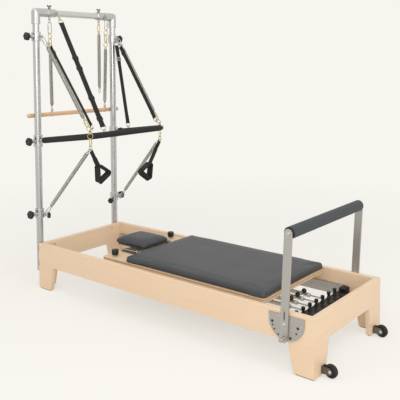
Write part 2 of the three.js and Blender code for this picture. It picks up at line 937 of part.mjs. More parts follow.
// A strap of webbing with a ring at each end and buckles on the way.
function flatStrap(from, to, widthWay, buckleShares) {
  const way = to.clone().sub(from);
  const length = way.length();
  way.normalize();
  const across = widthWay.clone().addScaledVector(way, -widthWay.dot(way)).normalize();
  const face = way.clone().cross(across).normalize();
  const ends = { half: strap.ring, side: strap.ring, wire: strap.ringWire };
  const step = (distance) => from.clone().addScaledVector(way, distance);
  const tuck = 2 * strap.ring - strap.thick;
  const pieces = [
    loop(ends, step(strap.ring), way.clone().negate(), face),
    loop(ends, step(length - strap.ring), way, face),
    ribbon(step(tuck), step(length - tuck), widthWay, strap.width, strap.thick),
  ];
  const half = strap.buckleLength / 2;
  buckleShares.forEach((share) => {
    const low = step(length * share - half);
    const high = step(length * share + half);
    pieces.push(ribbon(low, high, widthWay, strap.width + strap.rim, strap.buckle));
  });
  return join(pieces);
}

// A link that hooks round the inner side of a spring's end link and leans out to a strap.
function sideClip(heldSide, lean, held, along) {
  const grip = flatShare * (held.wire + clip.wire) + gap;
  const centre = heldSide.clone().addScaledVector(lean, clip.half - grip);
  return {
    piece: loop(clip, centre, lean, along),
    end: centre.clone().addScaledVector(lean, clip.half),
  };
}

function upperStrap(side) {
  const line = springLine.upper(side);
  const way = along(line);
  const square = (direction) => direction.addScaledVector(way, -direction.dot(way)).normalize();
  const inward = square(at(0, -side, 0));
  const lean = square(at(side < 0 ? nearReachShare : farReachShare, -side, 0));
  const ringAt = eye.radius - eye.wire - ring.wire - gap + ring.half;
  const heldSide = (from, distance, held) =>
    from.clone().addScaledVector(way, distance).addScaledVector(inward, held.side);
  const top = sideClip(heldSide(line.from, clip.along, carabiner), lean, carabiner, way);
  const bottom = sideClip(heldSide(line.to, -ringAt, ring), lean, ring, way);
  const widthWay = side < 0 ? at(Math.SQRT1_2, -1, 0) : at(1, Math.SQRT1_2, 0);
  return join([flatStrap(top.end, bottom.end, widthWay, upperBuckleShares), top.piece, bottom.piece]);
}

function seatInEye(eyeCentre, way) {
  return eyeCentre.clone().addScaledVector(way, eye.radius - eye.wire - strap.ringWire - gap);
}

function safetyStrap(fromEye, toEye, widthWay, shares) {
  const way = toEye.clone().sub(fromEye).normalize();
  const back = way.clone().negate();
  return flatStrap(seatInEye(fromEye, way), seatInEye(toEye, back), widthWay, shares);
}

// Roll-down bar on its two springs, and the spare spring.
const topEyes = (side) => ({
  under: {
    at: at(towerX, side * topCollarY + topEye.underY, elbow.centre - topCollar.radius - topEye.drop),
    normal: X,
  },
  front: {
    at: at(towerX + topCollar.radius + topEye.forward, side * topCollarY + topEye.frontY, elbow.centre),
    normal: Y,
  },
});
const rollEyeAt = (y) => ({
  at: at(rollBarX, y, rollBar.z + rollBar.radius + eye.radius),
  normal: X,
});

const rollEyes = [rollEye.nearFromUpright - uprightY, uprightY - rollEye.farFromUpright];

function rollDownBar() {
  const half = uprightY + rollBar.beyond;
  const from = at(rollBarX, rollBar.y - half, rollBar.z);
  const to = at(rollBarX, rollBar.y + half, rollBar.z);
  const pieces = [rod(rollBar.radius, from, to, tubeFacets)];
  rollEyes.forEach((y) => {
    const centre = rollEyeAt(y).at;
    const neck = centre.clone().setZ(centre.z - eye.radius + eye.wire);
    pieces.push(eyeLoop(centre, Z, X), rod(eye.wire, at(rollBarX, y, rollBar.z), neck, stemFacets));
  });
  return join(pieces);
}

function rollSpring(name, fromEye, toEye, firstLinks) {
  return hungSpring(name, fromEye, toEye, firstLinks, [link]);
}

// The spare spring hangs free, with one link at its foot.
function spareSpring(name, fromEye) {
  const down = Z.clone().negate();
  const start = chainFrom(fromEye, down, [link, snap], eye);
  const coilEnd = start.end.clone().addScaledVector(down, spareCoil);
  const foot = coilEnd.clone().addScaledVector(down, link.half);
  const wound = coilBetween(name, start.end, coilEnd, coil);
  return join([wound, ...start.pieces, loop(link, foot, down, X)]);
}

// A handle hangs down its own -Z from a link round the wire at its origin.
function handleLoop(side) {
  const top = { half: link.side, side: link.side, wire: link.wire };
  const linkCentre = at(0, 0, eye.wire + link.wire + gap - link.side);
  const strapTop = linkCentre.z - link.side;
  const strapEnd = side < 0 ? -handle.nearDrop : -handle.farDrop;
  const outer = loopOutline(0);
  outer.holes.push(loopOutline(handle.web));
  const body = extruded(outer, handle.depth)
    .rotateX(Math.PI / 2)
    .rotateZ(Math.PI / 2)
    .translate(-handle.depth / 2, 0, strapEnd);
  const tape = boxBetween(
    at(-handle.thick / 2, -handle.width / 2, strapEnd - handle.web),
    at(handle.thick / 2, handle.width / 2, strapTop + 2 * link.wire),
  );
  const tilt = radians(side < 0 ? handle.nearTilt : handle.farTilt);
  return join([loop(top, linkCentre, Z, X), body, tape]).rotateX(-side * tilt);
}

// Outline of the hand loop in its own plane: y across and z down from its top edge.
function loopOutline(inset) {
  const top = handle.loopTop / 2 - inset;
  const bottom = handle.loopBottom / 2 - inset;
  const low = (inset ? handle.grip : 0) - handle.loopHeight;
  const elbowZ = 2 * handle.round + handle.web - handle.loopHeight;
  const flat = bottom - 2 * handle.round;
  const shape = inset ? new THREE.Path() : new THREE.Shape();
  shape.moveTo(top, -inset);
  shape.lineTo(-top, -inset);
  shape.lineTo(-bottom, elbowZ);
  shape.quadraticCurveTo(-bottom, low, -flat, low);
  shape.lineTo(flat, low);
  shape.quadraticCurveTo(bottom, low, bottom, elbowZ);
  return shape;
}

function handlePlace(side) {
  const ringCentre = barEye.drop(side);
  return ringCentre.setZ(ringCentre.z - dropLink.ring);
}

// Carriage.
function roundedPlan(x0, x1, half, corner) {
  const plan = new THREE.Shape();
  plan.moveTo(x0 + corner, -half);
  plan.lineTo(x1 - corner, -half);
  plan.quadraticCurveTo(x1, -half, x1, -half + corner);
  plan.lineTo(x1, half - corner);
  plan.quadraticCurveTo(x1, half, x1 - corner, half);
  plan.lineTo(x0 + corner, half);
  plan.quadraticCurveTo(x0, half, x0, half - corner);
  plan.lineTo(x0, -half + corner);
  plan.quadraticCurveTo(x0, -half, x0 + corner, -half);
  return plan;
}

const axleX = [carriageHead + wheelset.fromEnd, carriageFoot - wheelset.fromEnd];
const axleZ = trackTop + gap + wheelset.roller;

function carriagePlatform() {
  const half = carriageY;
  const plan = roundedPlan(carriageHead, carriageFoot, half, carriage.corner);
  const plate = extruded(plan, carriage.thick).translate(0, 0, carriageTop - carriage.thick);
  const pieces = [plate];
  const holes = [];
  const core = carriageTop - carriage.thick / 2;
  const lugZ = core - (wheelset.lugHeight + carriage.thick / 2) / 2;
  axleX.forEach((x) => {
    Object.values(sides).forEach((side) => {
      const y = side * (carriageY - wheelset.lugFromSide);
      const size = at(wheelset.lugWidth, wheelset.lug, wheelset.lugHeight);
      const bore = [at(x, y - wheelset.lug, axleZ), at(x, y + wheelset.lug, axleZ)];
      pieces.push(box(size, at(x, y, lugZ)));
      holes.push(rod(runningBore(wheelset.axle), ...bore));
    });
  });
  Object.values(sides).forEach((side) => {
    const x = carriageHead + post.fromEnd;
    const y = side * (carriageY - post.fromSide);
    const seat = carriageTop + post.stemHeight;
    pieces.push(rod(post.stem, at(x, y, core), at(x, y, seat + post.stem)));
    pieces.push(rod(post.radius, at(x, y, seat), at(x, y, seat + post.height), tubeFacets));
  });
  return cut(join(pieces), holes);
}

// A pad with rounded corners, slightly drawn-in sides and a crowned top. Its base is at z = 0.
function cushionForm(length, width, thick, size) {
  const deepest = width / 2 - size.edge;
  const rings = cushionRings.map((level) => ({
    inset: Math.min(level.edgeShare * size.edge + level.drawShare * size.drawIn, deepest),
    z: level.thickShare * thick + level.crownShare * size.crown,
  }));
  const positions = [];
  const index = [];
  rings.forEach((level) => {
    ringOutline(length, width, size.corner, level.inset).forEach((p) => {
      positions.push(p.x, p.y, level.z);
    });
  });
  const count = 4 * (cornerSteps + 1);
  const top = (rings.length - 1) * count;
  for (let row = 0; row < top; row += count) {
    for (let i = 0; i < count; i++) {
      const a = row + i;
      const b = row + ((i + 1) % count);
      index.push(a, b, b + count, a, b + count, a + count);
    }
  }
  const base = top + count;
  positions.push(0, 0, 0, 0, 0, thick + size.crown);
  for (let i = 0; i < count; i++) {
    const next = (i + 1) % count;
    index.push(base, next, i);
    index.push(base + 1, top + i, top + next);
  }
  const geometry = new THREE.BufferGeometry();
  geometry.setAttribute("position", new THREE.Float32BufferAttribute(positions, 3));
  geometry.setIndex(index);
  return geometry;
}

function ringOutline(length, width, corner, inset) {
  const halfX = length / 2 - inset;
  const halfY = width / 2 - inset;
  const round = Math.min(corner, halfX / 2, halfY / 2);
  const points = [];
  for (let quarter = 0; quarter < 4; quarter++) {
    const signX = quarter < 2 ? 1 : -1;
    const signY = quarter % 3 === 0 ? -1 : 1;
    for (let i = 0; i <= cornerSteps; i++) {
      const angle = ((quarter - 1 + i / cornerSteps) * Math.PI) / 2;
      const x = signX * (halfX - round) + round * Math.cos(angle);
      const y = signY * (halfY - round) + round * Math.sin(angle);
      points.push(new THREE.Vector2(x, y));
    }
  }
  return points;
}

function carriagePad() {
  const width = 2 * (carriageY + cushion.overhang);
  const centre = carriageFoot - cushion.length / 2;
  return cushionForm(cushion.length, width, cushion.thick - gap, cushion).translate(centre, 0, carriageTop + gap);
}

function headrestPad() {
  const length = headrest.beyond + headrest.within;
  const headEnd = carriageHead - headrest.beyond;
  const footEnd = carriageHead + headrest.within;
  const centre = (headEnd + footEnd) / 2;
  const boardTop = carriageTop + gap + headrest.lift + headrest.board;
  const soft = cushionForm(length, headrest.width, headrest.pad, headrest).translate(centre, 0, boardTop);
  const half = headrest.width / 2 - headrest.drawIn;
  const wood = boxBetween(
    at(headEnd + headrest.drawIn, -half, boardTop - headrest.board),
    at(footEnd - headrest.drawIn, half, boardTop + headrest.drawIn),
  );
  const hinge = boxBetween(
    at(footEnd - 2 * headrest.edge, -half + headrest.edge, carriageTop + gap),
    at(footEnd - headrest.edge, half - headrest.edge, boardTop),
  );
  return join([soft, wood, hinge]);
}

function wheelsetAt() {
  const inner = trackY - track.web - 2 * gap - wheelset.tread;
  const outer = inner + wheelset.tread;
  const pieces = [rod(wheelset.axle, at(0, -outer, 0), at(0, outer, 0))];
  Object.values(sides).forEach((side) => {
    pieces.push(rod(wheelset.roller, at(0, side * inner, 0), at(0, side * outer, 0), tubeFacets));
  });
  return join(pieces);
}

// Foot end: the spring bar with its pegs, and the carriage springs that hook on it.
function pegForm() {
  const r = springBar.peg;
  const shoulder = springBar.pegHeight - r;
  const slant = r * Math.SQRT1_2;
  const profile = [
    at(0, -r),
    at(r, -r),
    at(r, shoulder),
    at(slant, shoulder + slant),
    at(0, shoulder + r),
  ];
  return new THREE.LatheGeometry(profile, stemFacets).rotateX(Math.PI / 2);
}

// The blocks that close the bar at its two ends, each with a round knob on top.
function barBlock(side, half) {
  const inner = side * (half - springBar.blockDepth);
  const z = springBarZ + springBar.blockHeight;
  const wide = springBar.block / 2;
  const block = boxBetween(
    at(springBarX - wide, inner, springBarZ),
    at(springBarX + wide, side * half, z),
  );
  const middle = at(springBarX + barKnob.x, (inner + side * half) / 2, z);
  const knobRod = rod(
    barKnob.radius,
    middle.clone().setZ(z - barKnob.rise),
    middle.clone().setZ(z + barKnob.rise),
    tubeFacets,
  );
  return [block, knobRod];
}

function pegBar() {
  const half = trackY - track.web - gap;
  const top = springBarZ + springBar.thick;
  const x = springBarX;
  const wide = springBar.width / 2;
  const pieces = [boxBetween(at(x - wide, -half, springBarZ), at(x + wide, half, top))];
  for (let i = 0; i < springBar.count; i++) {
    const y = (i - (springBar.count - 1) / 2) * springBar.pitch;
    pieces.push(pegForm().translate(x + springBar.pegX, y, top));
    const root = at(x + springBar.bossX, y, top - springBar.peg);
    const tip = root.clone().setZ(top + springBar.bossHeight);
    pieces.push(rod(springBar.bossRadius, root, tip, stemFacets));
  }
  Object.values(sides).forEach((side) => pieces.push(...barBlock(side, half)));
  return join(pieces);
}

// One carriage spring: coil, hook rod up to its peg, and a ball handle on a tee.
function carriageSpringAt(name, y) {
  const s = carriageSpring;
  const z = frame.height - s.fromTop;
  const headX = springBarX - s.head;
  const footX = springBarX - s.foot;
  const start = at(headX - s.wire, y, z);
  const end = at(footX, y, z);
  const rodEnd = at(springBarX + springBar.pegX - springBar.peg - gap, y, z);
  const teeStart = at(footX + s.tee, y, z);
  const teeEnd = at(footX + s.tee + s.teeLength, y, z);
  const middle = teeStart.clone().lerp(teeEnd, 0.5);
  const ballCentre = at(middle.x - s.ballBack, y, z + s.ballRise);
  return [
    coilBetween(name, start, end, s),
    rod(s.rod, at(footX - s.wire, y, z), rodEnd, stemFacets),
    rod(s.tee, teeStart, teeEnd, stemFacets),
    rod(s.rod, ballCentre, middle, stemFacets),
    ball(s.ball, ballCentre),
  ];
}

function carriageSpringSet(name) {
  const s = carriageSpring;
  const halfSpan = ((s.count - 1) / 2) * springBar.pitch;
  const wide = halfSpan + 2 * s.anchor;
  const z = frame.height - s.fromTop;
  const headX = springBarX - s.head;
  const hangerX = headX - s.anchorLong;
  const hangerTop = carriageTop - carriage.thick - gap;
  const pieces = [
    boxBetween(at(hangerX, -wide, z - s.anchor), at(headX, wide, z + s.anchor)),
    boxBetween(at(hangerX, -s.anchor, z), at(headX, s.anchor, hangerTop)),
  ];
  for (let i = 0; i < s.count; i++) {
    pieces.push(...carriageSpringAt(`${name} ${i + 1}`, i * springBar.pitch - halfSpan));
  }
  return join(pieces);
}

// Footbar, built round its pivot with the arms straight up.
function armOutline() {
  const half = footbar.width / 2;
  const shape = new THREE.Shape();
  shape.moveTo(-half, -footbar.tail);
  shape.absarc(0, -footbar.tail, half, Math.PI, 2 * Math.PI);
  shape.lineTo(half, footbar.rise);
  shape.absarc(0, footbar.rise, half, 0, Math.PI);
  shape.lineTo(-half, -footbar.tail);
  const slot = new THREE.Path();
  const slotHalf = footbar.slot / 2;
  slot.moveTo(-slotHalf, footbar.slotStart);
  slot.lineTo(slotHalf, footbar.slotStart);
  slot.lineTo(slotHalf, footbar.slotEnd);
  slot.lineTo(-slotHalf, footbar.slotEnd);
  shape.holes.push(
    slot,
    roundHole(-footbar.pinHoleX, footbar.pinHoleZ, footbar.pinHole),
    roundHole(0, -footbar.tail, plunger.pin + gap),
  );
  return shape;
}

const armInner = halfWidth + gap + quadrant.thick + gap;

function footbarFrame() {
  const pieces = [];
  const outer = armInner + footbar.thick;
  Object.values(sides).forEach((side) => {
    const arm = extruded(armOutline(), footbar.thick).rotateX(Math.PI / 2);
    const root = side * (outer - footbar.thick / 2);
    const tip = side * (outer + footbar.boltHead);
    pieces.push(
      arm.translate(0, side > 0 ? outer : -armInner, 0),
      rod(footbar.bolt, at(0, root, footbar.rise), at(0, tip, footbar.rise)),
      rod(footbar.bolt, at(0, root, 0), at(0, tip, 0)),
    );
  });
  const reach = armInner + footbar.thick / 2;
  const tubeEnds = [-reach, reach].map((y) => at(0, y, footbar.rise));
  pieces.push(rod(footbar.tube, ...tubeEnds, tubeFacets));
  return join(pieces);
}

function footbarGrip() {
  const half = armInner - footbar.gripEnd;
  const radius = footbar.tube + gap;
  const profile = [
    new THREE.Vector2(radius, -half),
    new THREE.Vector2(footbar.grip - footbar.gripEnd / 2, -half),
    new THREE.Vector2(footbar.grip, -half + footbar.gripEnd),
    new THREE.Vector2(footbar.grip, half - footbar.gripEnd),
    new THREE.Vector2(footbar.grip - footbar.gripEnd / 2, half),
    new THREE.Vector2(radius, half),
    new THREE.Vector2(radius, -half),
  ];
  return new THREE.LatheGeometry(profile, gripFacets).translate(0, 0, footbar.rise);
}

function quadrantPlate(side) {
  const r = quadrant.radius;
  const base = -quadrant.skirt;
  const shape = new THREE.Shape();
  shape.moveTo(-r, 0);
  shape.lineTo(-r, base);
  shape.absarc(0, base, r, Math.PI, 2 * Math.PI);
  shape.lineTo(r, 0);
  shape.closePath();
  const px = pivotX - plateX;
  const pz = pivotZ - plateTop;
  quadrantHoleAngles.forEach((degrees) => {
    const angle = radians(degrees);
    const x = px + quadrant.holes * Math.cos(angle);
    const z = pz + quadrant.holes * Math.sin(angle);
    shape.holes.push(roundHole(x, z, quadrant.holeRadius));
  });
  const y = side > 0 ? halfWidth + gap + quadrant.thick : -halfWidth - gap;
  const plate = extruded(shape, quadrant.thick).rotateX(Math.PI / 2);
  return plate.translate(plateX, y, plateTop);
}

function pullPin() {
  const face = armInner + footbar.thick;
  const neck = face + plunger.bodyLength;
  const place = (y) => at(0, -y, -footbar.tail);
  return join([
    rod(plunger.pin, place(armInner), place(neck)),
    rod(plunger.body, place(face + gap), place(neck), tubeFacets),
    rod(plunger.knob, place(neck), place(neck + plunger.knobLength), tubeFacets),
  ]);
}

// Transport wheels.
function transportWheel() {
  const half = wheel.width / 2;
  const profile = [
    new THREE.Vector2(wheel.bore, -half),
    new THREE.Vector2(wheel.radius - half / 2, -half),
    new THREE.Vector2(wheel.radius, -half / 2),
    new THREE.Vector2(wheel.radius, half / 2),
    new THREE.Vector2(wheel.radius - half / 2, half),
    new THREE.Vector2(wheel.bore, half),
    new THREE.Vector2(wheel.bore, -half),
  ];
  return new THREE.LatheGeometry(profile, gripFacets);
}

function wheelFork() {
  const start = halfLength + gap - wheelX;
  const inside = wheel.width / 2 + bracket.side;
  const outside = inside + bracket.plate;
  const half = bracket.height / 2;
  const pieces = [boxBetween(at(start, -outside, -half), at(start + bracket.plate, outside, half))];
  Object.values(sides).forEach((side) => {
    const inner = at(0, side * inside, 0);
    const tip = at(0, side * (outside + bracket.headLength), 0);
    pieces.push(
      boxBetween(at(start, side * inside, -half), at(bracket.beyond, side * outside, half)),
      rod(bracket.head, inner, tip, stemFacets),
    );
  });
  pieces.push(rod(bracket.axle, at(0, -outside, 0), at(0, outside, 0)));
  return join(pieces);
}

// Scene graph.
function mesh(name, geometry, material) {
  const made = new THREE.Mesh(geometry, material());
  made.name = name;
  return made;
}

function buildFrame() {
  const group = new THREE.Group();
  group.add(
    mesh("head_panel", headPanel(), finishes.wood),
    mesh("foot_panel", endPanel(1), finishes.wood),
  );
  Object.entries(sides).forEach(([name, side]) => {
    group.add(
      mesh(`${name}_side_rail`, sideRail(side), finishes.wood),
      mesh(`${name}_head_foot_pad`, footPad(-1, side), finishes.rubber),
      mesh(`${name}_foot_foot_pad`, footPad(1, side), finishes.rubber),
      mesh(`${name}_track`, trackSection(side), finishes.aluminium),
      mesh(`${name}_quadrant_plate`, quadrantPlate(side), finishes.brushed),
    );
    const place = at(wheelX, side * (halfWidth - wheel.fromSide), wheelZ);
    const fork = mesh(`${name}_wheel_bracket`, wheelFork(), finishes.dark);
    const tyre = mesh(`${name}_wheel`, transportWheel(), finishes.rubber);
    fork.position.copy(place);
    tyre.position.copy(place);
    group.add(fork, tyre);
  });
  return group;
}

function towerCollars(name, side) {
  const place = at(towerX, side * uprightY, 0);
  const level = (line) => along(line).setY(0).normalize();
  const local = (line) => line.from.clone().sub(place);
  const upperLine = springLine.upper(side);
  const lowerLine = springLine.lower(side);
  const upperParts = frontEye(local(upperLine), level(upperLine));
  if (side > 0) upperParts.push(...frontEye(farStrapEye.clone().sub(place), Z.clone().negate()));
  const lowerParts = [...frontEye(local(lowerLine), level(lowerLine)), ...sideInnerKnob(side)];
  const rows = [
    ["upper", collar.upper, collar.height, upperParts],
    ["push_bar", collar.middle, collar.middleHeight, hingeCheeks()],
    ["lower", collar.lower, collar.height, lowerParts],
  ];
  return rows.flatMap(([row, z, height, parts]) => {
    const sleeve = towerCollar(z, height, side, parts);
    const turned = mesh(`${name}_${row}_knob`, clampKnob(), finishes.plastic);
    turned.rotation.x = (-side * Math.PI) / 2;
    turned.position.z = z;
    return [mesh(`${name}_${row}_collar`, sleeve, finishes.steel), turned];
  });
}

function buildTower() {
  const group = new THREE.Group();
  const crown = mesh("top_tube", topTube(), finishes.steel);
  crown.position.x = towerX;
  group.add(crown);
  Object.entries(sides).forEach(([name, side]) => {
    const column = new THREE.Group();
    column.position.set(towerX, side * uprightY, 0);
    column.add(
      mesh(`${name}_upright`, uprightTube(), finishes.steel),
      mesh(`${name}_elbow`, elbowFitting(side), finishes.steel),
      ...towerCollars(name, side),
    );
    const sleeve = mesh(`${name}_top_collar`, topCollarSleeve(), finishes.steel);
    sleeve.position.set(towerX, side * topCollarY, 0);
    group.add(column, sleeve);
  });
  return group;
}

function buildPushBar() {
  const group = new THREE.Group();
  group.add(mesh("push_through_bar", pushBar(), finishes.foam));
  Object.entries(sides).forEach(([name, side]) => {
    const hung = mesh(`${name}_handle`, handleLoop(side), finishes.webbing);
    hung.position.copy(handlePlace(side));
    group.add(
      mesh(`${name}_upper_spring`, upperSpring(`${name}_upper_spring`, side), finishes.steel),
      mesh(`${name}_lower_spring`, lowerSpring(`${name}_lower_spring`, side), finishes.steel),
      mesh(`${name}_upper_strap`, upperStrap(side), finishes.webbing),
      hung,
    );
  });
  group.add(mesh("near_safety_strap", nearSafetyStrap(), finishes.webbing));
  group.add(mesh("far_safety_strap", farSafetyStrap(), finishes.webbing));
  return group;
}

function nearSafetyStrap() {
  const widthWay = at(nearTwistShare, 1, 0);
  const from = topEyes(-1).front.at;
  const to = barEye.clip(-1);
  const way = to.clone().sub(from).normalize();
  const first = chainFrom({ at: from, normal: Y }, way, [snap], eye);
  const last = seatInEye(to, way.clone().negate());
  const held = first.end.clone().addScaledVector(way, -snap.wire);
  return join([flatStrap(held, last, widthWay, safetyBuckleShares), ...first.pieces]);
}

function farSafetyStrap() {
  const widthWay = at(farTwistShare, 1, 0);
  return safetyStrap(farStrapEye, armPoint(bar.armEye), widthWay, upperBuckleShares);
}

function buildRollDown() {
  const group = new THREE.Group();
  group.add(
    mesh("roll_down_bar", rollDownBar(), finishes.beech),
    mesh("spare_spring", spareSpring("spare_spring", topEyes(1).under), finishes.steel),
  );
  const holds = [
    ["near", topEyes(-1).under, [link, carabiner, ring, snap]],
    ["far", topEyes(1).front, [link, carabiner, ring, snap, ring]],
  ];
  holds.forEach(([side, hold, links], index) => {
    const name = `${side}_roll_spring`;
    const spring = rollSpring(name, hold, rollEyeAt(rollEyes[index]), links);
    group.add(mesh(name, spring, finishes.steel));
  });
  return group;
}

function buildCarriage() {
  const group = new THREE.Group();
  group.add(
    mesh("carriage_platform", carriagePlatform(), finishes.wood),
    mesh("carriage_pad", carriagePad(), finishes.vinyl),
    mesh("headrest", headrestPad(), finishes.vinyl),
  );
  ["head_wheelset", "foot_wheelset"].forEach((name, index) => {
    const axle = mesh(name, wheelsetAt(), finishes.plastic);
    axle.position.set(axleX[index], 0, axleZ);
    group.add(axle);
  });
  return group;
}

function buildFootEnd() {
  const group = new THREE.Group();
  group.add(
    mesh("spring_bar", pegBar(), finishes.plastic),
    mesh("carriage_springs", carriageSpringSet("carriage_springs"), finishes.zinc),
  );
  const swing = new THREE.Group();
  swing.position.set(pivotX, 0, pivotZ);
  swing.rotation.y = radians(footbar.lean);
  swing.add(
    mesh("footbar", footbarFrame(), finishes.brushed),
    mesh("footbar_grip", footbarGrip(), finishes.foam),
    mesh("footbar_plunger", pullPin(), finishes.steel),
  );
  group.add(swing);
  return group;
}

const reformer = new THREE.Group();
reformer.add(buildFrame(), buildTower(), buildPushBar(), buildRollDown(), buildCarriage(), buildFootEnd());
reformer.position.x = -centreX;

export default reformer;
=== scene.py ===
"""The looks of a pilates reformer with a half tower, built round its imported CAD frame.

Lengths are metres. +X points to the foot end, +Z up, and the near rail lies on the -Y side.
"""

import logging
import math
from dataclasses import dataclass, field
from enum import Enum
from typing import Any, Callable, Iterable, Sequence

import bmesh
import bpy
from mathutils import Matrix, Vector


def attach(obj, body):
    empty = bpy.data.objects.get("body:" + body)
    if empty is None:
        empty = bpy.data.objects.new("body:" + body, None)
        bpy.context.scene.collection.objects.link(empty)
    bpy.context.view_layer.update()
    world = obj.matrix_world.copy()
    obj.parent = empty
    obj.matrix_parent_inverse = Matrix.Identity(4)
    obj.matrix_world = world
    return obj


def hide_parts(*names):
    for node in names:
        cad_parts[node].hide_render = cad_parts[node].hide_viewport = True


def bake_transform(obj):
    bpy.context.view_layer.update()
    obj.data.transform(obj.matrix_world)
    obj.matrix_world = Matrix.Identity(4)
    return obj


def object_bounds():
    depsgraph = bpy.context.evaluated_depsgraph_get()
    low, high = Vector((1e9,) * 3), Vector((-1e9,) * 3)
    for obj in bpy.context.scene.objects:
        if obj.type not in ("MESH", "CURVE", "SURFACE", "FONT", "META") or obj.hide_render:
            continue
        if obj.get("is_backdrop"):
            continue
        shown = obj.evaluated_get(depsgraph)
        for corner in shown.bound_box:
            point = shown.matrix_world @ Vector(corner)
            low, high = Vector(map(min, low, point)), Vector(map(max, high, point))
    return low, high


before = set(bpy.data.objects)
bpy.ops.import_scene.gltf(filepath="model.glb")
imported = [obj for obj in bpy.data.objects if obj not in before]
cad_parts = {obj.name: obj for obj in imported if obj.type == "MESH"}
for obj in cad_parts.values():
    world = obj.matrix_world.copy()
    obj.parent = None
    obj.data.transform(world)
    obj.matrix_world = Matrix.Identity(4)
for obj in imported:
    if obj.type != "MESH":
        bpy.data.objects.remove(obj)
cad_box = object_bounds()
log = logging.getLogger("reformer")

Tone = tuple[float, float, float]
Loop = list[tuple[float, float]]
SHIFT = -0.0009  # from the middle of the bed to the middle of the whole object's box, along X
GAP = 0.0003  # the air between two pieces that sit on each other
SIDES = {"near": -1, "far": 1}
UP = Vector((0, 0, 1))
ALONG = Vector((1, 0, 0))
ACROSS = Vector((0, 1, 0))


def at(x: float, y: float, z: float) -> Vector:
    """A place in the shared frame, from the middle of the bed on the floor."""
    return Vector((x + SHIFT, y, z))


# nodes


class Sketch:
    """Adds nodes to one node tree and links them."""

    def __init__(self, tree: bpy.types.NodeTree) -> None:
        """Keeps the tree that is drawn on."""
        self.tree = tree

    def add(self, kind: str, given: dict[Any, Any] | None = None, **settings: Any) -> Any:
        """Adds one node.

        Args:
            kind: the node's type name.
            given: what goes into each input, by name or index: a socket or a value.
            settings: the node's own properties.

        Returns:
            The node.
        """
        node = self.tree.nodes.new(kind)
        for name, value in settings.items():
            setattr(node, name, value)
        for key, value in (given or {}).items():
            if isinstance(value, bpy.types.NodeSocket):
                self.tree.links.new(value, node.inputs[key])
            else:
                node.inputs[key].default_value = value
        return node

    def sum(self, operation: str, *terms: Any) -> Any:
        """Adds a Math node on numbers or sockets and returns its output."""
        return self.add("ShaderNodeMath", dict(enumerate(terms)), operation=operation).outputs[0]

    def spread(self, value: Any, low: float, high: float, first: float, last: float) -> Any:
        """Maps a value from one range onto another and returns the output."""
        given = {"Value": value, "From Min": low, "From Max": high, "To Min": first, "To Max": last}
        return self.add("ShaderNodeMapRange", given).outputs[0]

    def vector(self, operation: str, *terms: Any) -> Any:
        """Adds a Vector Math node and returns the node."""
        return self.add("ShaderNodeVectorMath", dict(enumerate(terms)), operation=operation)


# finishes


@dataclass(frozen=True)
class Finish:
    """A surface: its colour and its gloss.

    Attributes:
        name: the material's name.
        tone: linear colour.
        roughness: 0 is a mirror.
        metallic: 1 for bare metal.
    """

    name: str
    tone: Tone
    roughness: float = 0.5
    metallic: float = 0.0

    def material(self) -> bpy.types.Material:
        """The finish as a material, made once.

        Returns:
            The material.
        """
        found = bpy.data.materials.get(self.name)
        if found is None:
            found = bpy.data.materials.new(self.name)
            found.use_nodes = True
            shader = found.node_tree.nodes["Principled BSDF"]
            shader.inputs["Metallic"].default_value = self.metallic
            shader.inputs["Roughness"].default_value = self.roughness
            shader.inputs["Base Color"].default_value = (*self.tone, 1)
            self.dress(Sketch(found.node_tree), shader)
        return found

    def dress(self, sketch: Sketch, shader: Any) -> None:
        """Draws this finish's own pattern into the shader."""

    def place(self, sketch: Sketch, scale: Sequence[float]) -> Any:
        """Object coordinates stretched by a scale for each axis."""
        source = sketch.add("ShaderNodeTexCoord").outputs["Object"]
        return sketch.add("ShaderNodeMapping", {"Vector": source, "Scale": scale}).outputs[0]

    def noise(self, sketch: Sketch, scale: Sequence[float], detail: float = 4.0) -> Any:
        """A noise of about one speck per metre times the scale."""
        given = {"Vector": self.place(sketch, scale), "Scale": 1.0, "Detail": detail}
        return sketch.add("ShaderNodeTexNoise", given).outputs[0]

    def tint(self, sketch: Sketch, shader: Any, share: Any, other: Tone) -> None:
        """Blends the tone with another by a share and colours the shader with it.

        Args:
            sketch: draws on the material's node tree.
            shader: the shader that takes the result.
            share: how much of the other tone shows, from 0 to 1.
            other: the second tone.
        """
        mix = sketch.add("ShaderNodeMix", {"Factor": share}, data_type="RGBA")
        mix.inputs[6].default_value = (*self.tone, 1)
        mix.inputs[7].default_value = (*other, 1)
        sketch.tree.links.new(mix.outputs[2], shader.inputs["Base Color"])

    def rough(self, sketch: Sketch, shader: Any, share: Any, low: float, high: float) -> None:
        """Spreads the roughness between two values by a share."""
        sketch.tree.links.new(sketch.spread(share, 0.0, 1.0, low, high), shader.inputs["Roughness"])

    def bump(self, sketch: Sketch, shader: Any, height: Any, depth: float, strength: float) -> None:
        """Raises the surface by a height share of the depth.

        Args:
            sketch: draws on the material's node tree.
            shader: the shader that takes the result.
            height: the height as a share, from 0 to 1.
            depth: how far the full height stands out.
            strength: how strongly it shows.
        """
        given = {"Height": height, "Distance": depth, "Strength": strength}
        bump = sketch.add("ShaderNodeBump", given)
        sketch.tree.links.new(bump.outputs[0], shader.inputs["Normal"])


class Axis(Enum):
    """The way that a grain or a brush stroke runs."""

    X = 0
    Y = 1
    Z = 2

    def scale(self, along: float, across: float) -> tuple[float, float, float]:
        """Texture scales that are small along this axis and large across it.

        Args:
            along: the scale along the axis.
            across: the scale across it.

        Returns:
            The scales for X, Y and Z.
        """
        values = [across, across, across]
        values[self.value] = along
        return (values[0], values[1], values[2])


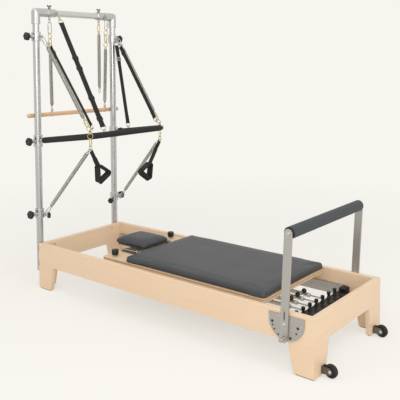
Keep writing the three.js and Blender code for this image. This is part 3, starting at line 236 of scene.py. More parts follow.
@dataclass(frozen=True)
class Wood(Finish):
    """Lacquered wood with a soft figure and short pores.

    Attributes:
        dark: the tone of the darker figure.
        grain: the way that the grain runs.
        figure: how strongly the figure shows.
    """

    dark: Tone = (0.6, 0.4, 0.25)
    grain: Axis = Axis.X
    figure: float = 0.5

    def dress(self, sketch: Sketch, shader: Any) -> None:
        """Draws growth bands, pores and a thin lacquer.

        Args:
            sketch: draws on the material's node tree.
            shader: the shader that takes the result.
        """
        broad = self.noise(sketch, self.grain.scale(0.9, 9.0), 5.0)
        bands = sketch.add(
            "ShaderNodeTexNoise",
            {"Vector": self.place(sketch, self.grain.scale(2.4, 70.0)), "Scale": 1.0,
             "Detail": 3.0, "Distortion": 1.4},
        ).outputs[0]
        pores = self.noise(sketch, self.grain.scale(55.0, 900.0), 2.0)
        mixed = sketch.sum("MULTIPLY_ADD", bands, 0.45, sketch.sum("MULTIPLY", broad, 0.55))
        share = sketch.spread(mixed, 0.36, 0.68, 0.0, self.figure)
        dots = sketch.spread(pores, 0.56, 0.72, 0.0, 0.10)
        self.tint(sketch, shader, sketch.sum("ADD", share, dots), self.dark)
        self.rough(sketch, shader, bands, self.roughness - 0.05, self.roughness + 0.07)
        self.bump(sketch, shader, sketch.sum("SUBTRACT", 1.0, dots), 0.0004, 0.25)
        shader.inputs["Coat Weight"].default_value = 0.18
        shader.inputs["Coat Roughness"].default_value = 0.28


@dataclass(frozen=True)
class Plywood(Finish):
    """Stacked veneers seen at a sawn edge.

    Attributes:
        glue: the tone of the dark plies.
        ply: the thickness of one ply.
        face: the height of the top face, which is all one veneer.
    """

    glue: Tone = (0.3, 0.15, 0.06)
    ply: float = 0.0083
    face: float = 0.343

    def dress(self, sketch: Sketch, shader: Any) -> None:
        """Draws level plies that fade out on the faces.

        Args:
            sketch: draws on the material's node tree.
            shader: the shader that takes the result.
        """
        source = sketch.add("ShaderNodeTexCoord")
        height = sketch.add("ShaderNodeSeparateXYZ", {0: source.outputs["Object"]}).outputs[2]
        depth = sketch.sum("SUBTRACT", self.face, height)
        turns = sketch.sum("MULTIPLY", depth, math.pi / self.ply)
        wave = sketch.sum("POWER", sketch.sum("MULTIPLY_ADD", sketch.sum("COSINE", turns), -0.5, 0.5), 3.0)
        grain = self.noise(sketch, (5.0, 60.0, 500.0))
        share = sketch.sum("MULTIPLY", wave, sketch.sum("MULTIPLY_ADD", grain, 0.6, 0.35))
        level = sketch.add("ShaderNodeSeparateXYZ", {0: source.outputs["Normal"]}).outputs[2]
        edge = sketch.sum("SUBTRACT", 1.0, sketch.sum("ABSOLUTE", level))
        self.tint(sketch, shader, sketch.sum("MULTIPLY", share, edge), self.glue)
        self.rough(sketch, shader, grain, self.roughness - 0.06, self.roughness + 0.1)
        self.bump(sketch, shader, share, 0.0003, 0.3)


@dataclass(frozen=True)
class Metal(Finish):
    """Metal with fine strokes, worn a little unevenly.

    Attributes:
        brush: the way that the strokes run.
        stroke: how deep the strokes are, as a share.
        shade: the tone of the darker strokes.
    """

    metallic: float = 1.0
    brush: Axis = Axis.Z
    stroke: float = 0.3
    shade: Tone = (0.4, 0.4, 0.4)

    def dress(self, sketch: Sketch, shader: Any) -> None:
        """Draws strokes and a slow change of gloss.

        Args:
            sketch: draws on the material's node tree.
            shader: the shader that takes the result.
        """
        strokes = self.noise(sketch, self.brush.scale(6.0, 1400.0), 3.0)
        cloud = self.noise(sketch, (7.0, 7.0, 7.0), 2.0)
        share = sketch.sum("MULTIPLY", strokes, self.stroke)
        self.tint(sketch, shader, share, self.shade)
        mixed = sketch.sum("MULTIPLY_ADD", strokes, self.stroke, sketch.sum("MULTIPLY", cloud, 0.5))
        self.rough(sketch, shader, mixed, self.roughness - 0.06, self.roughness + 0.14)
        self.bump(sketch, shader, strokes, 0.00008, self.stroke)


@dataclass(frozen=True)
class Moulded(Finish):
    """Moulded plastic, rubber or foam with a fine grain.

    Attributes:
        speck: specks to the metre.
        depth: how high the grain stands.
        dust: the tone of the worn high spots.
    """

    speck: float = 900.0
    depth: float = 0.0002
    dust: Tone = (0.05, 0.05, 0.05)

    def dress(self, sketch: Sketch, shader: Any) -> None:
        """Draws the grain and a faint dusting.

        Args:
            sketch: draws on the material's node tree.
            shader: the shader that takes the result.
        """
        grain = self.noise(sketch, (self.speck,) * 3, 2.0)
        cloud = self.noise(sketch, (14.0,) * 3, 4.0)
        share = sketch.spread(cloud, 0.35, 0.75, 0.0, 0.6)
        self.tint(sketch, shader, share, self.dust)
        self.rough(sketch, shader, cloud, self.roughness - 0.07, self.roughness + 0.07)
        self.bump(sketch, shader, grain, self.depth, 0.35)


@dataclass(frozen=True)
class Vinyl(Finish):
    """Upholstery vinyl with a pebbled leather grain.

    Attributes:
        pebble: pebbles to the metre.
        crease: the darker tone painted into the creases between the pebbles, a painted shade.
    """

    pebble: float = 620.0
    crease: Tone = (0.05, 0.05, 0.05)

    def dress(self, sketch: Sketch, shader: Any) -> None:
        """Draws pebbles, creases darkened with painted shade, and a soft satin.

        Args:
            sketch: draws on the material's node tree.
            shader: the shader that takes the result.
        """
        wobble = sketch.add(
            "ShaderNodeTexNoise",
            {"Vector": self.place(sketch, (self.pebble,) * 3), "Scale": 0.5, "Detail": 2.0},
        ).outputs[1]
        spread = sketch.vector("ADD", self.place(sketch, (self.pebble,) * 3), wobble)
        cells = sketch.add(
            "ShaderNodeTexVoronoi", {"Vector": spread.outputs[0], "Scale": 1.0},
            feature="DISTANCE_TO_EDGE",
        ).outputs[0]
        crease = sketch.spread(cells, 0.0, 0.16, 1.0, 0.0)
        cloud = self.noise(sketch, (5.0,) * 3, 3.0)
        # Painted shade: the creases between the pebbles are tinted darker.
        self.tint(sketch, shader, sketch.sum("MULTIPLY", crease, 0.35), self.crease)
        self.rough(sketch, shader, cloud, self.roughness - 0.05, self.roughness + 0.07)
        height = sketch.sum("SUBTRACT", 1.0, crease)
        self.bump(sketch, shader, height, 0.00025, 0.3)


@dataclass(frozen=True)
class Webbing(Finish):
    """Flat woven tape. The weave follows the piece's own weave attribute, in metres.

    Attributes:
        rib: distance between two ribs along the tape.
        thread: distance between two threads across it.
        painted_rib_highlight: the lighter tone painted on top of the ribs, a painted highlight.
    """

    rib: float = 0.0026
    thread: float = 0.0021
    painted_rib_highlight: Tone = (0.09, 0.09, 0.09)

    def dress(self, sketch: Sketch, shader: Any) -> None:
        """Draws ribs across the tape and threads along it, with a painted highlight on top of the ribs.

        Args:
            sketch: draws on the material's node tree.
            shader: the shader that takes the result.
        """
        weave = sketch.add("ShaderNodeAttribute", attribute_name="weave").outputs["Vector"]
        parts = sketch.add("ShaderNodeSeparateXYZ", {0: weave}).outputs
        ways = ((parts[0], self.thread), (parts[1], self.rib))
        waves = [
            sketch.sum("SINE", sketch.sum("MULTIPLY", place, 2 * math.pi / pitch))
            for place, pitch in ways
        ]
        cross = sketch.sum("MULTIPLY", *waves)
        height = sketch.sum("MULTIPLY_ADD", cross, 0.5, 0.5)
        fuzz = self.noise(sketch, (1500.0,) * 3, 2.0)
        share = sketch.sum("MULTIPLY", height, sketch.sum("MULTIPLY_ADD", fuzz, 0.7, 0.3))
        # Painted highlight: the raised tops of the weave are tinted lighter.
        self.tint(sketch, shader, share, self.painted_rib_highlight)
        self.rough(sketch, shader, fuzz, self.roughness - 0.1, self.roughness + 0.05)
        self.bump(sketch, shader, share, 0.0005, 0.6)
        shader.inputs["Sheen Weight"].default_value = 0.05
        shader.inputs["Sheen Roughness"].default_value = 0.5


MAPLE = (0.87, 0.655, 0.455)
MAPLE_DARK = (0.78, 0.54, 0.34)
BOARD_X = Wood("maple_along", MAPLE, 0.42, dark=MAPLE_DARK, grain=Axis.X, figure=0.42)
BOARD_Y = Wood("maple_across", MAPLE, 0.42, dark=MAPLE_DARK, grain=Axis.Y, figure=0.42)
BEECH = Wood("beech_rod", (0.82, 0.53, 0.31), 0.4, dark=(0.62, 0.35, 0.17), grain=Axis.Y)
PLYWOOD = Plywood("birch_plywood", (0.80, 0.58, 0.37), 0.5, glue=(0.16, 0.07, 0.03))
TUBE_Z = Metal("tower_tube", (0.55, 0.55, 0.555), 0.27, brush=Axis.Z, stroke=0.08)
# The top tube is the uprights' steel in a lighter tone: a painted highlight.
TOP_TUBE_PAINTED_LIGHTER = Metal("tower_top_tube_painted_lighter", (0.66, 0.66, 0.665), 0.27, brush=Axis.Y, stroke=0.08)
CAST = Metal("cast_fitting", (0.56, 0.56, 0.565), 0.32, brush=Axis.Y, stroke=0.10)
BRUSHED_Z = Metal(
    "brushed_arm", (0.56, 0.54, 0.515), 0.36, brush=Axis.Z, stroke=0.45, shade=(0.36, 0.34, 0.32)
)
BRUSHED_X = Metal(
    "brushed_plate", (0.53, 0.51, 0.485), 0.4, brush=Axis.X, stroke=0.4, shade=(0.34, 0.33, 0.32)
)
TRACK = Metal(
    "track_aluminium", (0.52, 0.50, 0.47), 0.42, brush=Axis.X, stroke=0.4, shade=(0.3, 0.29, 0.27)
)
PLATED = Metal("plated_wire", (0.50, 0.495, 0.48), 0.28, brush=Axis.Z, stroke=0.1)
CARRIAGE_WIRE = Metal("carriage_wire", (0.68, 0.62, 0.53), 0.34, brush=Axis.X, stroke=0.15)
COIL_WIRE = Metal("spring_wire", (0.50, 0.48, 0.45), 0.34, brush=Axis.Z, stroke=0.15)
ZINC = Metal(
    "yellow_zinc", (0.62, 0.48, 0.17), 0.3, brush=Axis.Z, stroke=0.25, shade=(0.55, 0.55, 0.42)
)
BOLT = Metal("bolt_steel", (0.62, 0.62, 0.61), 0.3, brush=Axis.Y, stroke=0.1)
WING = Metal("wing_screw", (0.20, 0.195, 0.19), 0.38, brush=Axis.Y, stroke=0.2, shade=(0.1, 0.1, 0.1))
BRONZE = Metal("bronze_coat", (0.11, 0.09, 0.07), 0.42, brush=Axis.Y, stroke=0.3, metallic=0.7)
BLACK = Moulded("moulded_black", (0.006, 0.006, 0.0065), 0.42, speck=1200.0, depth=0.0001,
                dust=(0.012, 0.012, 0.012))
RUBBER = Moulded("black_rubber", (0.009, 0.009, 0.009), 0.66, dust=(0.022, 0.021, 0.02))
BAR_FOAM = Moulded("bar_foam", (0.014, 0.014, 0.0145), 0.82, speck=1500.0, depth=0.0003,
                   dust=(0.022, 0.022, 0.023))
GRIP_FOAM = Moulded("footbar_cover", (0.046, 0.051, 0.060), 0.62, speck=1500.0, depth=0.0003,
                    dust=(0.062, 0.068, 0.078))
# VINYL's crease tone is painted shade in the creases of its grain.
VINYL = Vinyl("charcoal_vinyl", (0.052, 0.056, 0.063), 0.48, crease=(0.024, 0.026, 0.029))
# TAPE's lighter rib tone is a painted highlight on top of its ribs.
TAPE = Webbing("black_webbing", (0.006, 0.006, 0.006), 0.88, painted_rib_highlight=(0.022, 0.022, 0.021))
THREAD = Moulded("sewing_thread", (0.02, 0.02, 0.02), 0.75, speck=3000.0, dust=(0.05, 0.05, 0.05))
GRIP_BLACK = Moulded("handle_foam", (0.009, 0.009, 0.0095), 0.82, speck=1400.0,
                     dust=(0.02, 0.02, 0.021))


# shapes


class Shape:
    """The points and faces of one piece while it is built."""

    def __init__(self) -> None:
        """Starts empty."""
        self.points: list[Vector] = []
        self.faces: list[tuple[int, ...]] = []
        self.marks: list[int] = []
        self.finishes: list[Finish] = []
        self.weave: list[tuple[float, float, float]] = []
        self.mark = 0

    def use(self, finish: Finish) -> "Shape":
        """Gives what is added next this finish.

        Args:
            finish: what the faces that follow are made of.

        Returns:
            The same shape.
        """
        if finish not in self.finishes:
            self.finishes.append(finish)
        self.mark = self.finishes.index(finish)
        return self

    def skin(self, points: Iterable[Vector], faces: Iterable[Sequence[int]]) -> None:
        """Adds points and the faces between them.

        Args:
            points: the places.
            faces: for each face, the numbers of its points.
        """
        base = len(self.points)
        self.points.extend(Vector(p) for p in points)
        self.weave.extend([(0.0, 0.0, 0.0)] * (len(self.points) - base))
        for face in faces:
            self.faces.append(tuple(base + i for i in face))
            self.marks.append(self.mark)

    def rings(self, rings: Sequence[Sequence[Vector]], closed: bool = False) -> None:
        """Adds a skin over rings of equal counts, with a cap at each end unless it closes.

        Args:
            rings: the rings in order.
            closed: whether the last ring joins the first.
        """
        count = len(rings[0])
        faces: list[tuple[int, ...]] = []
        for row in range(len(rings) if closed else len(rings) - 1):
            low, high = row * count, ((row + 1) % len(rings)) * count
            for i in range(count):
                j = (i + 1) % count
                faces.append((low + i, low + j, high + j, high + i))
        if not closed:
            faces.append(tuple(range(count - 1, -1, -1)))
            faces.append(tuple((len(rings) - 1) * count + i for i in range(count)))
        self.skin([p for ring in rings for p in ring], faces)

    def sweep(
        self,
        line: Sequence[Vector],
        radius: float | Sequence[float],
        sides: int = 16,
        closed: bool = False,
        flat: float = 1.0,
        face: Vector | None = None,
    ) -> None:
        """Adds a round or oval rod along a line.

        Args:
            line: the points that it follows.
            radius: one radius, or one for each point.
            sides: how many sides the rod has.
            closed: whether the line ends where it starts.
            flat: thickness over width.
            face: the way that the width looks, for an oval.
        """
        radii = [radius] * len(line) if isinstance(radius, float) else list(radius)
        last = len(line) - 1
        ways = []
        for i in range(len(line)):
            before = line[i - 1] if (closed or i) else line[0]
            after = line[(i + 1) % len(line)] if (closed or i < last) else line[last]
            ways.append((after - before).normalized())
        start = face or (UP if abs(ways[0].z) < 0.9 else ALONG)
        across = ways[0].cross(start).normalized()
        rings = []
        for point, way, size in zip(line, ways, radii):
            across = (across - way * across.dot(way)).normalized()
            other = way.cross(across)
            rings.append([
                point
                + across * (size * math.cos(2 * math.pi * k / sides))
                + other * (size * flat * math.sin(2 * math.pi * k / sides))
                for k in range(sides)
            ])
        self.rings(rings, closed)

    def turned(
        self,
        profile: Loop,
        start: Vector,
        way: Vector,
        sides: int = 32,
        ring: bool = False,
    ) -> None:
        """Adds a turned shape.

        Args:
            profile: pairs of radius and distance along the axis.
            start: where the axis begins.
            way: the way that it points.
            sides: how many sides the shape has.
            ring: whether the profile closes on itself, as a sleeve's does.
        """
        along = way.normalized()
        across = along.cross(UP if abs(along.z) < 0.9 else ALONG).normalized()
        other = along.cross(across)
        rings = [
            [
                start
                + along * z
                + across * (r * math.cos(2 * math.pi * k / sides))
                + other * (r * math.sin(2 * math.pi * k / sides))
                for k in range(sides)
            ]
            for r, z in profile
        ]
        self.rings(rings, ring)

    def rod(
        self, radius: float, start: Vector, end: Vector, sides: int = 24, round: float = 0.0008
    ) -> None:
        """Adds a straight rod with eased ends.

        Args:
            radius: its radius.
            start: the middle of its first end.
            end: the middle of its other end.
            sides: how many sides it has.
            round: how far its edges are rounded.
        """
        length = (end - start).length
        ease = min(round, radius / 2, length / 3)
        profile = [(radius - ease, 0), (radius, ease), (radius, length - ease),
                   (radius - ease, length)]
        self.turned(profile, start, end - start, sides)

    def sleeve(
        self, outer: float, inner: float, start: Vector, end: Vector, ease: float = 0.0015,
        sides: int = 40,
    ) -> None:
        """Adds a hollow sleeve with eased rims.

        Args:
            outer: its outer radius.
            inner: the radius of its bore.
            start: the middle of its first end.
            end: the middle of its other end.
            ease: how far its rims are eased.
            sides: how many sides it has.
        """
        length = (end - start).length
        profile = [
            (inner, 0), (outer - ease, 0), (outer, ease), (outer, length - ease),
            (outer - ease, length), (inner, length),
        ]
        self.turned(profile, start, end - start, sides, True)

    def ball(self, centre: Vector, radius: float, way: Vector = UP, squash: float = 1.0) -> None:
        """Adds a ball, or a flattened one.

        Args:
            centre: its middle.
            radius: its radius.
            way: the way of its axis.
            squash: its height over its width.
        """
        steps = 14
        profile = []
        for i in range(steps + 1):
            angle = math.pi * i / steps
            reach = max(radius * math.sin(angle), radius * 0.01)
            profile.append((reach, -radius * squash * math.cos(angle)))
        self.turned(profile, centre, way, 24)

    def block(
        self, low: Vector, high: Vector, round: float = 0.002, turn: Matrix | None = None
    ) -> None:
        """Adds a box with rounded edges, turned about its own middle.

        Args:
            low: its lowest corner.
            high: its highest corner.
            round: how far its edges are rounded.
            turn: how it is turned.
        """
        mesh = bmesh.new()
        bmesh.ops.create_cube(mesh, size=1.0)
        size = high - low
        bmesh.ops.scale(mesh, vec=size, verts=mesh.verts)
        ease = min(round, min(size) / 2.2)
        bmesh.ops.bevel(
            mesh, geom=mesh.edges[:], offset=ease, segments=3, profile=0.5, affect="EDGES"
        )
        middle = (low + high) / 2
        place = Matrix.Translation(middle) @ (turn.to_4x4() if turn else Matrix.Identity(4))
        mesh.verts.ensure_lookup_table()
        self.skin(
            [place @ v.co for v in mesh.verts],
            [[v.index for v in f.verts] for f in mesh.faces],
        )
        mesh.free()

    def link(
        self, half: float, side: float, wire: float, centre: Vector, along: Vector,
        normal: Vector, sides: int = 10,
    ) -> None:
        """Adds a closed link of round wire: straight flanks between two round ends.

        Args:
            half: half the length of its middle line.
            side: half its width.
            wire: its wire's radius.
            centre: its middle.
            along: the way that its length lies.
            normal: square to its plane.
            sides: how many sides it has.
        """
        way = along.normalized()
        across = normal.cross(way).normalized()
        line = []
        for i in range(28):
            angle = 2 * math.pi * (i + 0.5) / 28
            x = side * math.cos(angle)
            x += math.copysign(half - side, x)
            line.append(centre + way * x + across * (side * math.sin(angle)))
        self.sweep(line, wire, sides, True)

    def plate(
        self, outline: Loop, holes: Sequence[Loop],
        thick: float, place: Matrix, ease: float = 0.0006,
    ) -> None:
        """Adds a flat plate with holes and eased edges.

        Args:
            outline: the plate's edge in its own plane.
            holes: the edges of its holes.
            thick: its thickness, on both sides of its plane together.
            place: where its plane lies.
            ease: the chamfer along every edge.
        """
        curve = bpy.data.curves.new("outline", "CURVE")
        curve.dimensions = "2D"
        curve.fill_mode = "BOTH"
        for loop in [outline, *holes]:
            spline = curve.splines.new("POLY")
            spline.points.add(len(loop) - 1)
            for point, (x, y) in zip(spline.points, loop):
                point.co = (x, y, 0, 1)
            spline.use_cyclic_u = True
        curve.extrude = thick / 2 - ease
        curve.bevel_depth = ease
        curve.bevel_resolution = 1
        curve.offset = -ease
        holder = bpy.data.objects.new("outline", curve)
        mesh = bpy.data.meshes.new_from_object(holder)
        self.skin([place @ v.co for v in mesh.vertices], [list(p.vertices) for p in mesh.polygons])
        bpy.data.objects.remove(holder)
        bpy.data.curves.remove(curve)
        bpy.data.meshes.remove(mesh)

    def tape(
        self, line: Sequence[Vector], across: Vector, width: float | Sequence[float], thick: float
    ) -> None:
        """Adds flat webbing of one width, or one for each point, along a line, with its weave.

        Args:
            line: the points that it follows.
            across: the way of its width.
            width: its width, or one for each point.
            thick: its thickness.
        """
        travelled = 0.0
        rings: list[list[Vector]] = []
        weave: list[tuple[float, float, float]] = []
        ease = thick * 0.35
        widths = [width] * len(line) if isinstance(width, float) else width
        deep = thick / 2
        for i, point in enumerate(line):
            half = widths[i] / 2
            section = [
                (-half, -deep + ease), (-half + ease, -deep), (-half / 3, -deep), (half / 3, -deep),
                (half - ease, -deep), (half, -deep + ease), (half, deep - ease), (half - ease, deep),
                (half / 3, deep), (-half / 3, deep), (-half + ease, deep), (-half, deep - ease),
            ]
            before, after = line[max(i - 1, 0)], line[min(i + 1, len(line) - 1)]
            out = across.cross((after - before).normalized()).normalized()
            if i:
                travelled += (point - line[i - 1]).length
            rings.append([point + across * u + out * v for u, v in section])
            weave.extend((u, travelled, 0.0) for u, _ in section)
        base = len(self.points)
        self.rings(rings)
        self.weave[base:base + len(weave)] = weave

    def made(self, name: str, angle: float = 35.0) -> bpy.types.Object:
        """The finished piece: a mesh whose place is in its points.

        Args:
            name: the piece's name.
            angle: edges sharper than this stay sharp.

        Returns:
            The object, at the origin.
        """
        mesh = bpy.data.meshes.new(name)
        mesh.from_pydata([tuple(p) for p in self.points], [], self.faces)
        mesh.polygons.foreach_set("material_index", self.marks)
        for finish in self.finishes:
            mesh.materials.append(finish.material())
        if any(any(w) for w in self.weave):
            weave = mesh.attributes.new("weave", "FLOAT_VECTOR", "POINT")
            weave.data.foreach_set("vector", [c for w in self.weave for c in w])
        settle(mesh, angle)
        return placed(name, mesh)


def settle(mesh: bpy.types.Mesh, angle: float = 35.0) -> None:
    """Turns every face outwards, smooths it, and keeps sharp and broad flat edges crisp.

    Args:
        mesh: the mesh to finish.
        angle: edges sharper than this stay sharp.
    """
    work = bmesh.new()
    work.from_mesh(mesh)
    bmesh.ops.remove_doubles(work, verts=work.verts, dist=1e-6)
    bmesh.ops.recalc_face_normals(work, faces=work.faces)
    for face in work.faces:
        face.smooth = True
    for edge in work.edges:
        if len(edge.link_faces) == 2:
            turn = edge.calc_face_angle(0.0)
            areas = sorted(face.calc_area() for face in edge.link_faces)
            broad = areas[1] > 12 * areas[0] and turn > math.radians(3)
            edge.smooth = not (broad or turn > math.radians(angle))
    work.to_mesh(mesh)
    work.free()
    mesh.update()


def arc(
    centre: Vector, first: Vector, second: Vector, radius: float, start: float, stop: float,
    steps: int,
) -> list[Vector]:
    """Points on a circle through two directions, between two angles in degrees.

    Args:
        centre: the circle's middle.
        first: the way of its zero angle.
        second: the way a quarter turn on.
        radius: its radius.
        start: the first angle.
        stop: the last angle.
        steps: how many steps lie between them.

    Returns:
        The points, both ends included.
    """
    found = []
    for i in range(steps + 1):
        angle = math.radians(start + (stop - start) * i / steps)
        found.append(centre + first * (radius * math.cos(angle)) + second * (radius * math.sin(angle)))
    return found


def circle(x: float, y: float, radius: float, steps: int = 20) -> Loop:
    """A round hole's edge in a plate's own plane."""
    return flat_arc(x, y, radius, 0, 360, steps)[:-1]


def flat_arc(
    x: float, y: float, radius: float, start: float, stop: float, steps: int
) -> Loop:
    """Points on a circle in a plate's own plane, between two angles in degrees."""
    turns = [math.radians(start + (stop - start) * i / steps) for i in range(steps + 1)]
    return [(x + radius * math.cos(turn), y + radius * math.sin(turn)) for turn in turns]


def upright(place: Vector) -> Matrix:
    """Stands a plate's own plane up at a place, facing the near side."""
    return Matrix.Translation(place) @ Matrix.Rotation(math.pi / 2, 4, "X")


def placed(name: str, data: Any) -> bpy.types.Object:
    """Links a new object at the origin that holds a mesh, a lamp or a camera.

    Args:
        name: the object's name.
        data: what it holds.

    Returns:
        The object.
    """
    piece = bpy.data.objects.new(name, data)
    bpy.context.scene.collection.objects.link(piece)
    return piece


def freeze(piece: bpy.types.Object) -> None:
    """Turns a piece's modifiers into its mesh.

    Args:
        piece: the piece that is changed.
    """
    bpy.context.view_layer.update()
    graph = bpy.context.evaluated_depsgraph_get()
    result = bpy.data.meshes.new_from_object(piece.evaluated_get(graph))
    piece.modifiers.clear()
    piece.data = result


def straight(start: Vector, end: Vector, steps: int) -> list[Vector]:
    """Evenly spaced points from one place to another."""
    return [start.lerp(end, i / steps) for i in range(steps + 1)]


def copied(name: str, node: str, finish: Finish, angle: float = 35.0) -> bpy.types.Object:
    """A merged and smoothed copy of a CAD node's mesh, in a finish of its own.

    Args:
        name: the new piece's name.
        node: the CAD node.
        finish: what it is made of.
        angle: edges sharper than this stay sharp.

    Returns:
        The piece, at the origin.
    """
    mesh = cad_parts[node].data.copy()
    mesh.name = name
    work = bmesh.new()
    work.from_mesh(mesh)
    bmesh.ops.remove_doubles(work, verts=work.verts, dist=1e-5)
    bmesh.ops.dissolve_limit(
        work, angle_limit=math.radians(1), verts=work.verts, edges=work.edges, delimit=set()
    )
    work.to_mesh(mesh)
    work.free()
    mesh.materials.clear()
    mesh.materials.append(finish.material())
    mesh.polygons.foreach_set("material_index", [0] * len(mesh.polygons))
    settle(mesh, angle)
    return placed(name, mesh)


# trees that repeat a shape or follow a path


class Tree:
    """A Geometry Nodes tree with named sizes, run once and turned into a plain mesh."""

    title = "tree"
    sizes: dict[str, str] = {}

    def __init__(self) -> None:
        """Builds the tree."""
        self.group = bpy.data.node_groups.new(self.title, "GeometryNodeTree")
        socket = self.group.interface.new_socket
        socket("Geometry", in_out="INPUT", socket_type="NodeSocketGeometry")
        for label, kind in {**self.sizes, "Finish": "Material"}.items():
            socket(label, in_out="INPUT", socket_type=f"NodeSocket{kind}")
        socket("Geometry", in_out="OUTPUT", socket_type="NodeSocketGeometry")
        self.sketch = Sketch(self.group)
        self.given = self.sketch.add("NodeGroupInput").outputs
        real = self.sketch.add("GeometryNodeRealizeInstances", {0: self.draw()}).outputs[0]
        dressed = self.sketch.add(
            "GeometryNodeSetMaterial", {"Geometry": real, "Material": self.given["Finish"]}
        )
        self.sketch.add("NodeGroupOutput", {0: dressed.outputs[0]})

    def draw(self) -> Any:
        """Draws the tree and returns its geometry socket."""
        return self.given["Geometry"]

    def run(
        self, name: str, finish: Finish, sizes: dict[str, Any], source: Shape | None = None
    ) -> bpy.types.Object:
        """Runs the tree once.

        Args:
            name: the piece's name.
            finish: what it is made of.
            sizes: a value for each named input.
            source: the shape or path that the tree works on.

        Returns:
            A plain mesh object without modifiers, at the origin.
        """
        mesh = bpy.data.meshes.new(name)
        if source:
            edges = [] if source.faces else [(i, i + 1) for i in range(len(source.points) - 1)]
            mesh.from_pydata([tuple(p) for p in source.points], edges, source.faces)
        piece = placed(name, mesh)
        modifier = piece.modifiers.new("form", "NODES")
        modifier.node_group = self.group
        values = {**sizes, "Finish": finish.material()}
        for item in self.group.interface.items_tree:
            if item.in_out == "INPUT" and item.name in values:
                value = values[item.name]
                modifier[item.identifier] = list(value) if isinstance(value, Vector) else value
        freeze(piece)
        piece.data.name = name
        settle(piece.data, 40)
        return piece


class CoilTree(Tree):
    """A coil of round wire between two places, drawn in to its axis at both ends."""

    title = "wound_coil"
    sizes = {
        "Start": "Vector", "End": "Vector", "Radius": "Float", "Wire": "Float",
        "Turns": "Float", "Steps": "Int", "Sides": "Int", "Ease": "Float",
    }

    def draw(self) -> Any:
        """Draws a spiral, tapers it, turns it onto its axis and gives it the wire.

        Returns:
            The geometry socket.
        """
        sketch, given = self.sketch, self.given
        span = sketch.vector("SUBTRACT", given["End"], given["Start"]).outputs[0]
        length = sketch.vector("LENGTH", span).outputs["Value"]
        spiral = sketch.add(
            "GeometryNodeCurveSpiral",
            {"Resolution": given["Steps"], "Rotations": given["Turns"], "Height": length,
             "Start Radius": given["Radius"], "End Radius": given["Radius"]},
        ).outputs[0]
        share = sketch.add("GeometryNodeSplineParameter").outputs["Factor"]
        end = sketch.sum("MINIMUM", share, sketch.sum("SUBTRACT", 1.0, share))
        grown = sketch.sum("DIVIDE", sketch.sum("MULTIPLY", end, given["Turns"]), given["Ease"])
        taper = sketch.sum("MINIMUM", grown, 1.0)
        place = sketch.add("GeometryNodeInputPosition").outputs[0]
        size = sketch.add("ShaderNodeCombineXYZ", {0: taper, 1: taper, 2: 1.0}).outputs[0]
        drawn = sketch.add(
            "GeometryNodeSetPosition",
            {"Geometry": spiral, "Position": sketch.vector("MULTIPLY", place, size).outputs[0]},
        ).outputs[0]
        turn = sketch.add("FunctionNodeAlignRotationToVector", {"Vector": span}, axis="Z")
        seated = sketch.add(
            "GeometryNodeTransform",
            {"Geometry": drawn, "Translation": given["Start"], "Rotation": turn.outputs[0]},
        ).outputs[0]
        profile = sketch.add(
            "GeometryNodeCurvePrimitiveCircle",
            {"Resolution": given["Sides"], "Radius": given["Wire"]},
        ).outputs[0]
        return sketch.add(
            "GeometryNodeCurveToMesh",
            {"Curve": seated, "Profile Curve": profile, "Fill Caps": True},
        ).outputs[0]


class RowTree(Tree):
    """A shape repeated along a line, each one turned further than the one before."""

    title = "row"
    sizes = {"Count": "Int", "Start": "Vector", "Step": "Vector", "Turn": "Vector"}

    def draw(self) -> Any:
        """Draws the line's points and sets the shape on each.

        Returns:
            The geometry socket.
        """
        sketch, given = self.sketch, self.given
        line = sketch.add(
            "GeometryNodeMeshLine",
            {"Count": given["Count"], "Start Location": given["Start"], "Offset": given["Step"]},
            mode="OFFSET",
        ).outputs[0]
        index = sketch.add("GeometryNodeInputIndex").outputs[0]
        turn = sketch.vector("SCALE", given["Turn"])
        sketch.tree.links.new(index, turn.inputs["Scale"])
        rotation = sketch.add("FunctionNodeEulerToRotation", {0: turn.outputs[0]}).outputs[0]
        return sketch.add(
            "GeometryNodeInstanceOnPoints",
            {"Points": line, "Instance": given["Geometry"], "Rotation": rotation},
        ).outputs[0]


class SleeveTree(Tree):
    """A soft sleeve that follows a path, with shallow ripples along it."""

    title = "sleeve"
    sizes = {"Radius": "Float", "Ripple": "Float", "Pitch": "Float", "Step": "Float", "Sides": "Int"}

    def draw(self) -> Any:
        """Draws the path, its ripples and the round section.

        Returns:
            The geometry socket.
        """
        sketch, given = self.sketch, self.given
        path = sketch.add("GeometryNodeMeshToCurve", {"Mesh": given["Geometry"]}).outputs[0]
        fine = sketch.add(
            "GeometryNodeResampleCurve", {"Curve": path, "Length": given["Step"]}, mode="LENGTH"
        ).outputs[0]
        run = sketch.add("GeometryNodeSplineParameter").outputs["Length"]
        turns = sketch.sum("MULTIPLY", sketch.sum("DIVIDE", run, given["Pitch"]), 2 * math.pi)
        wave = sketch.sum("MULTIPLY", sketch.sum("SINE", turns), given["Ripple"])
        radius = sketch.sum("ADD", given["Radius"], wave)
        profile = sketch.add(
            "GeometryNodeCurvePrimitiveCircle", {"Resolution": given["Sides"], "Radius": 1.0}
        ).outputs[0]
        node = sketch.add(
            "GeometryNodeCurveToMesh",
            {"Curve": fine, "Profile Curve": profile, "Fill Caps": True, "Scale": radius},
        )
        return node.outputs[0]


# handing pieces over


